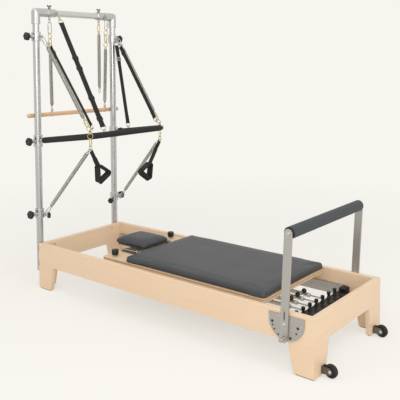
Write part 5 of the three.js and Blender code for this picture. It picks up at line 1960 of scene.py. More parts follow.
@dataclass
class PushBar(Assembly):
    """The padded U-bar on the middle collars, with its springs, straps and drop rings."""

    tower_x: float = -1.1857
    y: float = 0.385
    cross_x: float = -0.6117
    cross_z: float = 1.176
    pivot_x: float = -1.1337
    pivot_z: float = 1.1096
    radius: float = 0.022
    bend: float = 0.090
    eye_lift: float = 0.007
    clip_y: float = 0.250
    arm_eye: float = 0.178
    arm_run: float = 0.574
    arm_rise: float = 0.073
    collar_z: float = 1.103
    drop_half: float = 0.025
    drop_ring: float = 0.014
    upper_z: float = 1.876
    lower_z: float = 0.558
    eye_reach: float = 0.070
    clip: float = 0.014
    clip_wire: float = 0.0056
    clip_drop: float = 0.062
    near_tie: tuple[float, float, float] = (0.040, -0.216, 2.054)
    far_tie: tuple[float, float] = (0.046, 1.852)
    handles: tuple[tuple[float, float], ...] = ((0.137, 30), (0.205, 35))
    eye: Eye = field(default_factory=Eye)
    leans: dict[str, float] = field(default_factory=lambda: {"near": -0.28, "far": 0.8})

    @property
    def out(self) -> Vector:
        """The way that the bar's arms run from their pivots."""
        return (at(self.cross_x, 0, self.cross_z) - at(self.pivot_x, 0, self.pivot_z)).normalized()

    def bend_point(self, side: int) -> Vector:
        """The middle of the bend on one side."""
        back = self.bend * (1 - math.sqrt(0.5))
        return at(self.cross_x - back, side * (self.y - back), self.cross_z)

    def upper_eye(self, side: int) -> Vector:
        """The eye on top of a bend, where an upper spring ends.

        Args:
            side: -1 for the near bend, 1 for the far one.

        Returns:
            The eye's middle.
        """
        place = self.bend_point(side)
        place.z = self.cross_z + self.radius + self.eye_lift
        return place

    def drop_eye(self, side: int) -> Vector:
        """The middle of the ring that hangs under a bend.

        Args:
            side: -1 for the near bend, 1 for the far one.

        Returns:
            The ring's middle.
        """
        place = self.bend_point(side)
        place.z = self.cross_z - self.radius - 2 * self.drop_half - self.drop_ring
        return place

    def clip_eye(self) -> Vector:
        """The eye on the cross bar that the near safety strap holds."""
        return at(self.cross_x, -self.clip_y, self.cross_z + self.radius + self.eye_lift)

    def arm_top(self) -> Vector:
        """The eye on the far arm that the far safety strap holds.

        Returns:
            The eye's middle.
        """
        rise = self.arm_eye / self.arm_run * self.arm_rise
        top = self.collar_z + rise + self.radius + self.eye_lift
        return at(self.tower_x + self.arm_eye, self.y, top)

    def path(self) -> list[Vector]:
        """The bar's middle line from one hinge to the other.

        Returns:
            The points from the near hinge to the far one.
        """
        out = self.out
        start = at(self.pivot_x, 0, self.pivot_z) + out * 0.020
        corner = at(self.cross_x, 0, self.cross_z) - out * self.bend
        bend = self.y - self.bend
        line = straight(start - ACROSS * self.y, corner - ACROSS * self.y, 12)[:-1]
        line += arc(corner - ACROSS * bend, -ACROSS, out, self.bend, 0, 90, 14)
        line += straight(corner + out * self.bend - ACROSS * bend,
                         corner + out * self.bend + ACROSS * bend, 20)[1:-1]
        line += arc(corner + ACROSS * bend, out, ACROSS, self.bend, 0, 90, 14)
        line += straight(corner + ACROSS * self.y, start + ACROSS * self.y, 12)[1:]
        return line

    def build(self) -> None:
        """Builds the bar and everything on it."""
        path = Shape()
        path.points = self.path()
        sizes = {"Radius": self.radius, "Ripple": 0.00022, "Pitch": 0.011, "Step": 0.0036, "Sides": 30}
        foam = SLEEVE.run("push_bar_foam", BAR_FOAM, sizes, path)
        self.hand(foam, "grip_foam", "push_through_bar", body="push_bar")
        shape = Shape()
        for sign in SIDES.values():
            self.hub(shape, sign)
            self.bend_metal(shape, sign)
        for place in (self.clip_eye(), self.arm_top()):
            self.seated_eye(shape, place)
        self.hand(shape.made("push_bar_metal"), "grip_foam", body="push_bar")
        self.springs()
        self.straps()
        for (side, sign), (drop, tilt) in zip(SIDES.items(), self.handles):
            Handle(side, sign, self.drop_eye(sign) - UP * self.drop_ring, drop, tilt).build()

    def hub(self, shape: Shape, sign: int) -> None:
        """Adds the barrel and the capped neck at one end of the bar.

        Args:
            shape: the shape that it is added to.
            sign: -1 on the near side, 1 on the far side.
        """
        root = at(self.pivot_x, sign * self.y, self.pivot_z)
        shape.use(CAST)
        shape.sleeve(0.012, 0.0056, root - ACROSS * 0.0137, root + ACROSS * 0.0137, 0.0012, 32)
        shape.rod(0.009, root + self.out * 0.0105, root + self.out * 0.026, 28)
        shape.use(BLACK)
        shape.turned([(0.009, 0.0175), (0.0205, 0.0178), (0.0222, 0.0195), (0.0222, 0.026)], root,
                     self.out, 32)

    def seated_eye(self, shape: Shape, place: Vector) -> None:
        """Adds an upright eye with the round plate that it is screwed through.

        Args:
            shape: the shape that it is added to.
            place: the eye's middle.
        """
        shape.use(PLATED)
        self.eye.carve(shape, place, UP, ACROSS)
        root = place - UP * (self.eye_lift + 0.0012)
        shape.turned([(0.0095, -0.0015), (0.0095, 0.0008), (0.006, 0.0016), (0.0045, 0.003)], root, UP, 20)

    def bend_metal(self, shape: Shape, sign: int) -> None:
        """Adds the eye on a bend with its plate, and the link and ring that hang below.

        Args:
            shape: the shape that it is added to.
            sign: -1 on the near side, 1 on the far side.
        """
        self.seated_eye(shape, self.upper_eye(sign))
        hang = self.bend_point(sign)
        hang.z = self.cross_z - self.radius - self.drop_half + 0.002
        shape.use(ZINC)
        shape.link(self.drop_half, 0.009, 0.003, hang, UP, ALONG)
        shape.rod(0.0042, hang + ACROSS * 0.009 - UP * 0.014, hang + ACROSS * 0.009 + UP * 0.008, 16)
        shape.link(self.drop_ring, self.drop_ring, 0.003, self.drop_eye(sign), UP, ACROSS)
        out = Vector((1, sign, 0)).normalized()
        face = self.bend_point(sign) + out * (self.radius + 0.0026)
        shape.link(0.018, 0.018, 0.0028, face, UP, out)
        shape.use(BLACK)
        shape.turned([(0.0088, -0.004), (0.0088, -0.001), (0.0078, 0.0012), (0.0002, 0.0016)], face, out, 24)

    def springs(self) -> None:
        """Builds the four tower springs."""
        bodies = ("frame", "push_bar")
        for side, sign in SIDES.items():
            for row, z in (("upper", self.upper_z), ("lower", self.lower_z)):
                start = at(self.tower_x + self.eye_reach, sign * self.y, z)
                upper = row == "upper"
                Hung(
                    f"{side}_{row}", f"{side}_{row}_spring", start,
                    self.upper_eye(sign) if upper else self.drop_eye(sign), ACROSS,
                    (Fastener.CARABINER,), (Fastener.RING, Fastener.SNAP) if upper
                    else (Fastener.LINK,), bodies,
                    end_eye=self.eye if upper else Eye(self.drop_ring, 0.003),
                ).build()

    def straps(self) -> None:
        """Builds the two straps beside the upper springs and the two safety straps."""
        for side, sign in SIDES.items():
            start = at(self.tower_x + self.eye_reach, sign * self.y, self.upper_z)
            end = self.upper_eye(sign)
            way = (end - start).normalized()
            inward = self.square(-ACROSS * sign, way)
            lean = self.square(ALONG * self.leans[side] - ACROSS * sign, way)
            ring = Fastener.RING
            low = end - way * (self.eye.radius - self.eye.wire - ring.wire - GAP + ring.half)
            holds = []
            tips = []
            seat = self.clip - 0.93 * self.clip_wire - GAP
            for place, side_width in ((start + way * self.clip_drop, 0.015), (low, 0.019)):
                centre = place + inward * side_width + lean * seat
                holds.append((centre, lean))
                tips.append(centre + lean * self.clip)
            broad = Vector((1, -0.25, 0)) if sign < 0 else Vector((1, -0.1, 0))
            Strap(f"{side}_upper_strap", f"{side}_upper_strap", *tips, broad, (0.12,), tuple(holds),
                  clip_normal=way, blend_start=start, blend_end=end).build()
        room = self.eye.radius - self.eye.wire
        (near_x, near_y, near_z), (far_x, far_z) = self.near_tie, self.far_tie
        seat = room - Strap.wire - GAP
        rows = (
            ("near", at(self.tower_x + near_x, near_y, near_z), self.clip_eye(),
             Vector((0.35, 1, 0)), (0.36, 0.455, 0.72, 0.9)),
            ("far", at(self.tower_x + far_x, self.y, far_z), self.arm_top(), ACROSS, (0.2,)),
        )
        for side, start, end, broad, slides in rows:
            way = (end - start).normalized()
            first = start + way * seat
            snap = None
            if side == "near":
                hook = Fastener.SNAP
                snap = start + way * (room - hook.wire - GAP + hook.half)
                first = snap + way * (hook.half - hook.wire)
            Strap(f"{side}_safety", f"{side}_safety_strap", first, end - way * seat,
                  broad, slides, snap=snap, blend_start=start, blend_end=end,
                  bright=side == "far").build()

    def square(self, direction: Vector, way: Vector) -> Vector:
        """The part of a direction that lies square to a way, as a unit."""
        return (direction - way * direction.dot(way)).normalized()


@dataclass
class Handle(Assembly):
    """A hand loop of webbing with a foam grip, on a ring under one bend of the bar."""

    side: str
    sign: int
    root: Vector
    drop: float
    tilt: float
    width: float = 0.040
    neck: float = 0.030
    depth: float = 0.056
    top: float = 0.030
    bottom: float = 0.116
    tall: float = 0.128
    grip: float = 0.022
    gathered: float = 0.052
    spread: float = 0.085

    def build(self) -> None:
        """Builds the link, the tape, the loop and its grip, all tilted inwards."""
        stand = Matrix.Translation(self.root)
        stand = stand @ Matrix.Rotation(-self.sign * math.radians(self.tilt), 4, "X")
        tape = Shape().use(TAPE)
        line = straight(Vector((0.0016, 0, -self.gathered)), Vector((0.0018, 0, -0.020)), 4)
        line += arc(Vector((0, 0, -0.0121)), ALONG, UP, 0.0034, -20, 200, 10)
        line += straight(Vector((-0.0018, 0, -0.020)), Vector((-0.0012, 0, -self.drop - 0.004)), 12)
        reach = self.spread - self.gathered
        shares = [min(max((-point.z - self.gathered) / reach, 0.0), 1.0) for point in line]
        tape.tape(line, ACROSS, [self.neck + (self.width - self.neck) * share for share in shares], 0.0016)
        self.web(tape)
        rest = Shape().use(PLATED)
        rest.link(0.009, 0.009, 0.0026, Vector((0, 0, -0.0031)), UP, ALONG)
        rest.use(GRIP_BLACK)
        half = self.bottom / 2 - 0.010
        z = -self.drop - self.tall + self.grip + 0.001
        rest.sleeve(self.grip, 0.004, Vector((0, -half, z)), Vector((0, half, z)), 0.003, 32)
        rest.use(BLACK)
        for way in (-1, 1):
            rest.turned([(0.021, half - 0.001), (0.0215, half + 0.0012), (0.018, half + 0.003),
                         (0.0002, half + 0.0032)], Vector((0, 0, z)), ACROSS * way, 28)
        body = f"{self.side}_handle"
        for piece, nodes in ((tape.made(f"{body}_webbing"), (body,)), (rest.made(f"{body}_grip"), ())):
            piece.data.transform(stand)
            self.hand(piece, "webbing", *nodes, body=body)

    def loop(self) -> list[Vector]:
        """The middle line of the loop's webbing, round through its grip.

        Returns:
            The points of one half, from its top down to its grip.
        """
        z0 = -self.drop
        z1 = z0 - self.tall + self.grip
        top, low = self.top / 2 - 0.002, self.bottom / 2 - 0.003
        line = [Vector((0, 0, z0 - 0.002)), Vector((0, top * 0.7, z0 - 0.002))]
        line += [Vector((0, top, z0 - 0.006))]
        line += straight(Vector((0, top + 0.003, z0 - 0.014)), Vector((0, low - 0.002, z1 + 0.022)), 8)
        line += arc(Vector((0, low - 0.014, z1 + 0.014)), ACROSS, -UP, 0.014, 0, 90, 6)
        return line

    def web(self, shape: Shape) -> None:
        """Adds both halves of the loop's webbing, joined at the top.

        Args:
            shape: the shape that it is added to.
        """
        line = self.loop()
        whole = [Vector((0, -p.y, p.z)) for p in reversed(line)] + line[1:]
        shape.tape(whole, ALONG, self.depth, 0.0135)


# roll-down bar and the spare spring


@dataclass
class RollDown(Assembly):
    """The wooden roll-down bar on its two springs, and the spare spring beside it."""

    x: float = -1.2287
    z: float = 1.290
    y: float = 0.017
    radius: float = 0.016
    length: float = 0.928
    eyes: tuple[float, float] = (-0.216, 0.330)
    tower_x: float = -1.1857
    top_z: float = 2.054
    reach: float = 0.040
    holds: tuple[float, float, float] = (-0.260, 0.280, 0.236)
    spare_length: float = 0.462
    eye: Eye = field(default_factory=Eye)

    def build(self) -> None:
        """Builds the bar, its eyes and the three springs."""
        half = self.length / 2
        start = at(self.x, self.y - half, self.z)
        ends = [(0.0002, 0.0), (0.006, 0.0006), (0.011, 0.0028), (0.0145, 0.007), (self.radius, 0.013)]
        profile = ends + [(r, self.length - d) for r, d in reversed(ends)]
        shape = Shape().use(BEECH)
        shape.turned(profile, start, ACROSS, 40)
        shape.use(PLATED)
        for y in self.eyes:
            centre = at(self.x, y, self.z + self.radius + self.eye.radius)
            self.eye.carve(shape, centre, UP, ALONG)
            root = at(self.x, y, self.z + self.radius)
            shape.turned([(0.0075, -0.0012), (0.0075, 0.0006), (0.0045, 0.0014), (0.003, 0.003)], root,
                         UP, 20)
            shape.turned([(0.0055, -0.001), (0.0055, 0.0025), (0.003, 0.004), (0.0002, 0.0042)],
                         at(self.x, y, self.z - self.radius), -UP, 6)
        self.hand(shape.made("roll_bar_dowel"), "beech", "roll_down_bar", body="roll_bar")
        under = at(self.tower_x, self.holds[0], self.top_z - self.reach)
        front = at(self.tower_x + self.reach, self.holds[1], self.top_z)
        bodies = ("roll_bar_springs", "roll_bar")
        chain = (Fastener.LINK, Fastener.CARABINER, Fastener.RING, Fastener.SNAP)
        rows = (("near", under, ALONG, chain), ("far", front, ACROSS, (*chain, Fastener.RING)))
        for (side, hold, normal, links), y in zip(rows, self.eyes):
            low = at(self.x, y, self.z + self.radius + self.eye.radius)
            RollSpring(f"{side}_roll", f"{side}_roll_spring", hold, low, normal, links,
                       (Fastener.LINK,), bodies).build()
        self.spare()

    def spare(self) -> None:
        """Builds the spare spring that hangs free from the far top collar."""
        hold = at(self.tower_x, self.holds[2], self.top_z - self.reach)
        run = Hung("spare", "spare_spring", hold, hold - UP * 0.6, ALONG,
                   (Fastener.LINK, Fastener.SNAP), (), ("frame", "frame"))
        shape = Shape()
        top = run.row(shape, hold, -UP, run.first, run.start_eye)
        low = top - UP * self.spare_length
        run.cap(shape, top, -UP)
        run.cap(shape, low, UP)
        Fastener.LINK.carve(shape, low - UP * 0.013, UP, ALONG)
        inset = UP * run.capped
        wound = run.coil.wind("spare_coil", top - inset, low + inset)
        self.hand(wound, "spring_steel", "spare_spring", body="spare_spring")
        self.hand(shape.made("spare_links"), "spring_steel", body="spare_spring")


@dataclass
class RollSpring(Hung):
    """A spring of the roll-down bar: a chain, a coil, and a link on the bar."""

    bend: float = 0.10

    def build(self) -> None:
        """Builds the chain, the coil and the link on the bar; the link rides on the bar's body."""
        way = (self.end - self.start).normalized()
        chain, tail = Shape(), Shape()
        top = self.row(chain, self.start, way, self.first, self.start_eye)
        low = self.row(tail, self.end, -way, self.last, self.end_eye)
        self.cap(chain, top, way)
        self.cap(tail, low, -way)
        first, last = top + way * self.capped, low - way * self.capped
        wound = self.coil.wind(f"{self.name}_coil", first, last)
        self.hang(wound, "spring_steel", self.node, ends=self.bodies, start=first, end=last)
        self.hang(chain.made(f"{self.name}_chain"), "spring_steel", ends=("frame", self.bodies[0]),
                  start=self.start, end=self.start + way * self.bend)
        self.hand(tail.made(f"{self.name}_tail"), "spring_steel", body=self.bodies[1])

    def row(self, shape: Shape, origin: Vector, way: Vector, links: Sequence[Fastener],
            eye: Eye) -> Vector:
        """Adds a row of links, square to the eye that holds it.

        Args:
            shape: the shape that it is added to.
            origin: the eye's middle.
            way: the way that the row runs.
            links: the links in order.
            eye: the eye that holds the first one.

        Returns:
            The place where the row ends.
        """
        normal = self.normal
        if origin == self.end:
            self.normal = ALONG
        found = super().row(shape, origin, way, links, eye)
        self.normal = normal
        return found


# carriage


@dataclass
class Cushion:
    """An upholstered pad: crowned, soft at the edges, and drawn in between its corners."""

    name: str
    low: Vector
    high: Vector
    corner: float
    edge: float
    crown: float
    draw: float
    voxel: float
    cap: float
    pressure: float = 4.0
    spare: float = 0.0025
    pinch: float = 0.08
    held: float = 0.16
    stiffness: float = 30.0
    bending: float = 2.0
    frames: int = 20
    pleats: tuple[tuple[float, float], ...] = ((0.62, 0.0016), (0.98, 0.0011))

    def skin(self) -> bpy.types.Object:
        """The pad before it is filled: rings of a rounded outline, closed top and bottom.

        Returns:
            The closed skin.
        """
        middle = (self.low + self.high) / 2
        half_x, half_y = (self.high.x - self.low.x) / 2, (self.high.y - self.low.y) / 2
        thick = self.high.z - self.low.z - self.crown
        levels = [
            (0.30, 0.0), (0.10, 0.05), (0.0, 0.18), (0.0, 0.34), (0.10, 0.5),
            (0.06, 0.66), (0.10, 0.80), (0.34, 0.92), (0.75, 0.985), (1.3, 1.0),
        ]
        rings: list[list[Vector]] = []
        for share, rise in levels:
            inset = self.edge * share
            rings.append([
                Vector((middle.x + x, middle.y + y, self.low.z + thick * rise))
                for x, y in self.outline(half_x - inset, half_y - inset)
            ])
        for step in (2.2, 4.0, 7.0, 11.0, 16.0):
            inset = self.edge * step
            if inset < min(half_x, half_y) * 0.92:
                lift = self.crown * (1 - (1 - min(inset / (half_y * 0.8), 1)) ** 2)
                rings.append([
                    Vector((middle.x + x, middle.y + y, self.low.z + thick + lift))
                    for x, y in self.outline(half_x - inset, half_y - inset)
                ])
        for point in (p for ring in rings for p in ring):
            far_x, far_y = abs(point.x - middle.x) / half_x, abs(point.y - middle.y) / half_y
            thin = self.pinch * (far_x * far_y) ** 5
            point.z = self.low.z + (point.z - self.low.z) * (1 - thin)
        shape = Shape().use(VINYL)
        shape.rings(rings)
        return shape.made(self.name, 60)

    def outline(self, half_x: float, half_y: float) -> Loop:
        """A rounded rectangle whose sides pull in between its corners.

        Args:
            half_x: half its length.
            half_y: half its width.

        Returns:
            Its points.
        """
        r = min(self.corner, half_x * 0.5, half_y * 0.5)
        corners = [
            flat_arc(sx * (half_x - r), sy * (half_y - r), r, start, start + 90, 8)
            for sx, sy, start in ((1, -1, 270), (1, 1, 0), (-1, 1, 90), (-1, -1, 180))
        ]
        found = []
        for corner, following in zip(corners, corners[1:] + corners[:1]):
            found += corner
            here, there = corner[-1], following[0]
            for i in range(1, 16):
                t = i / 16
                pull = self.draw * math.sin(math.pi * t) ** 0.6
                x, y = here[0] + (there[0] - here[0]) * t, here[1] + (there[1] - here[1]) * t
                if abs(there[0] - here[0]) > abs(there[1] - here[1]):
                    y -= math.copysign(pull, y)
                else:
                    x -= math.copysign(pull, x)
                found.append((x, y))
        return found

    def fill(self, piece: bpy.types.Object) -> None:
        """Fills the pad: remesh, cloth pressure held to a short travel, flat base.

        Args:
            piece: the pad's skin.
        """
        mesh = piece.data
        middle = (self.low + self.high) / 2
        shares = [1 - 2 * self.spare / side for side in self.high - self.low]
        for vertex in mesh.vertices:
            away = vertex.co - middle
            vertex.co = middle + Vector([reach * share for reach, share in zip(away, shares)])
        remesh = piece.modifiers.new("remesh", "REMESH")
        remesh.mode = "VOXEL"
        remesh.voxel_size = self.voxel
        remesh.use_smooth_shade = True
        freeze(piece)
        rest = [vertex.co.copy() for vertex in piece.data.vertices]
        group = piece.vertex_groups.new(name="stapled")
        line = self.low.z + self.held * (self.high.z - self.low.z)
        base = [vertex.index for vertex in piece.data.vertices if vertex.co.z < line]
        group.add(base, 1.0, "REPLACE")
        cloth = piece.modifiers.new("cloth", "CLOTH")
        cloth.settings.use_pressure = True
        cloth.settings.uniform_pressure_force = self.pressure
        cloth.settings.effector_weights.gravity = 0.0
        cloth.settings.vertex_group_mass = "stapled"
        cloth.settings.tension_stiffness = self.stiffness
        cloth.settings.compression_stiffness = self.stiffness
        cloth.settings.bending_stiffness = self.bending
        cloth.settings.quality = 4
        cloth.point_cache.frame_start = 1
        cloth.point_cache.frame_end = self.frames
        scene = bpy.context.scene
        for number in range(1, self.frames + 1):
            scene.frame_set(number)
        freeze(piece)
        scene.frame_set(1)
        for vertex, start in zip(piece.data.vertices, rest):
            move = vertex.co - start
            if move.length > self.cap:
                vertex.co = start + move * (self.cap / move.length)
        piece.vertex_groups.clear()

    def crease(self, piece: bpy.types.Object) -> None:
        """Keeps the pad in its own space, smooths it, and lays a pleat down each corner.

        Args:
            piece: the filled pad.
        """
        smooth = piece.modifiers.new("smooth", "CORRECTIVE_SMOOTH")
        smooth.iterations = 3
        smooth.use_only_smooth = True
        finer = piece.modifiers.new("finer", "SUBSURF")
        finer.levels = finer.render_levels = 1
        freeze(piece)
        middle = (self.low + self.high) / 2
        half_x, half_y = (self.high.x - self.low.x) / 2, (self.high.y - self.low.y) / 2
        for vertex in piece.data.vertices:
            co = vertex.co
            x, y = co.x - middle.x, co.y - middle.y
            depth_x, depth_y = half_x - abs(x), half_y - abs(y)
            near = max(depth_x, depth_y)
            if near < self.corner * 1.5 and co.z < self.high.z - self.crown * 0.6:
                angle = math.atan2(self.corner - depth_y, self.corner - depth_x)
                fall = max(0.0, 1 - (self.high.z - self.crown - co.z) / (self.high.z - self.low.z))
                for lay, deep in self.pleats:
                    dip = deep * fall * math.exp(-(((angle - lay) / 0.07) ** 2))
                    co.x -= math.copysign(dip, x)
                    co.y -= math.copysign(dip, y)
            co.x = min(max(co.x, self.low.x), self.high.x)
            co.y = min(max(co.y, self.low.y), self.high.y)
            co.z = min(max(co.z, self.low.z), self.high.z)
        piece.data.materials.clear()
        piece.data.materials.append(VINYL.material())
        piece.data.polygons.foreach_set("material_index", [0] * len(piece.data.polygons))
        settle(piece.data, 70)

    def build(self) -> bpy.types.Object:
        """Returns:
            The pad.
        """
        piece = self.skin()
        self.fill(piece)
        self.crease(piece)
        return piece


@dataclass
class Headrest(Assembly):
    """The headrest: a pad on a board with a hinge and a folded strut.

    Attributes:
        seat: the height that the hinge and the strut stand on.
    """

    seat: float
    head: float = -0.638
    foot: float = -0.353
    half: float = 0.131
    strut: float = 0.017
    board: float = 0.012
    pad_seat: float = 0.0122
    pad: float = 0.051
    fullness: float = 0.004
    knuckles: tuple[float, ...] = (-0.09, -0.03, 0.03, 0.09)

    def build(self) -> None:
        """Builds the board with its hinge, then the pad on it."""
        half, bottom, full = self.half, self.seat + self.strut, self.fullness
        # The board is covered in the pad's dark vinyl; its dark tone also stands in for the shade under the
        # pad's edge, as painted shade.
        shape = Shape().use(VINYL)
        shape.block(at(self.head + 0.014, -half + 0.014, bottom),
                    at(self.foot - 0.012, half - 0.012, bottom + self.board), 0.0025)
        shape.use(BRUSHED_X)
        hinge = self.foot - 0.020
        shape.block(at(self.foot - 0.040, -half + 0.020, self.seat), at(hinge, half - 0.020, bottom), 0.001)
        shape.use(BOLT)
        for y in self.knuckles:
            pin = at(hinge, y, bottom - 0.0005)
            shape.rod(0.0042, pin - ACROSS * 0.026, pin + ACROSS * 0.026, 16)
        self.hand(shape.made("headrest_board"), "vinyl", "headrest", body="headrest")
        low = at(self.head - full, -half - full, bottom + self.pad_seat)
        high = at(self.foot + full, half + full, bottom + self.board + self.pad)
        pad = Cushion("headrest_cushion", low, high, 0.016, 0.018, 0.010, 0.006, 0.0062, 0.008, pinch=0.55)
        piece = pad.build()
        self.hand(piece, "vinyl", body="headrest")


@dataclass
class CarriageSprings(Assembly):
    """The four springs that pull the carriage, with their hanger, rods and ball handles.

    Attributes:
        under: the height of the hanger's top, just under the platform.
    """

    under: float
    z: float = 0.238
    pitch: float = 0.079
    count: int = 4
    head: float = 0.430
    foot: float = 0.786
    end: float = 0.9057
    wire: float = 0.0045
    ball: float = 0.0158
    coil: Coil = field(default_factory=lambda: Coil(0.0112, 0.0013, 0.0034, 14, 5, CARRIAGE_WIRE))

    def build(self) -> None:
        """Builds each spring with its rod, then the hanger that pulls them all."""
        half = (self.count - 1) * self.pitch / 2
        hanger = self.hanger(half + 0.028)
        for i in range(self.count):
            y = i * self.pitch - half
            hanger.link(0.0075, 0.0065, 0.002, at(self.head - 0.012, y, self.z), ALONG, ACROSS)
            self.hand(self.rod(y).made(f"carriage_spring_rod_{i + 1}"), "zinc")
            start, stop = at(self.head - 0.004, y, self.z), at(self.foot + 0.002, y, self.z)
            self.hang(self.coil.wind(f"carriage_coil_{i + 1}", start, stop), "zinc",
                      ends=("carriage", "frame"), start=start, end=stop)
        self.hand(hanger.made("spring_hanger"), "zinc", "carriage_springs", body="carriage")

    def hanger(self, wide: float) -> Shape:
        """The angle bar under the platform that the springs hook onto.

        Args:
            wide: half its length.

        Returns:
            The bar with its two brackets, ready for the springs' eyes.
        """
        x, z, top = self.head, self.z, self.under
        shape = Shape().use(BRUSHED_X)
        shape.block(at(x - 0.022, -wide, z - 0.014), at(x - 0.0185, wide, z + 0.014), 0.0008)
        shape.block(at(x - 0.022, -wide, z + 0.0105), at(x, wide, z + 0.014), 0.0008)
        shape.block(at(x - 0.022, -0.014, z), at(x - 0.017, 0.014, top), 0.0008)
        shape.block(at(x - 0.030, -0.030, top - 0.004), at(x + 0.018, 0.030, top), 0.0008)
        return shape.use(PLATED)

    def rod(self, y: float) -> Shape:
        """The rod that hooks one spring to the spring bar, with its ball handle.

        Args:
            y: where the spring lies across the bed.

        Returns:
            The rod, its two collars and the handle.
        """
        tee, ball = at(self.foot + 0.027, y, self.z), at(self.foot + 0.001, y, self.z + 0.020)
        shape = Shape().use(PLATED)
        shape.rod(self.wire, at(self.foot - 0.010, y, self.z), at(self.end, y, self.z), 20)
        shape.turned([(0.0118, 0.0), (0.0125, 0.002), (0.0125, 0.040), (0.0105, 0.044)],
                     at(self.foot, y, self.z), ALONG, 28)
        shape.turned([(0.0065, 0), (0.0065, 0.014), (0.005, 0.016)], at(self.end - 0.017, y, self.z),
                     ALONG, 20)
        shape.rod(self.wire, tee, ball, 20)
        shape.use(BLACK)
        shape.ball(ball, self.ball, ball - tee)
        return shape


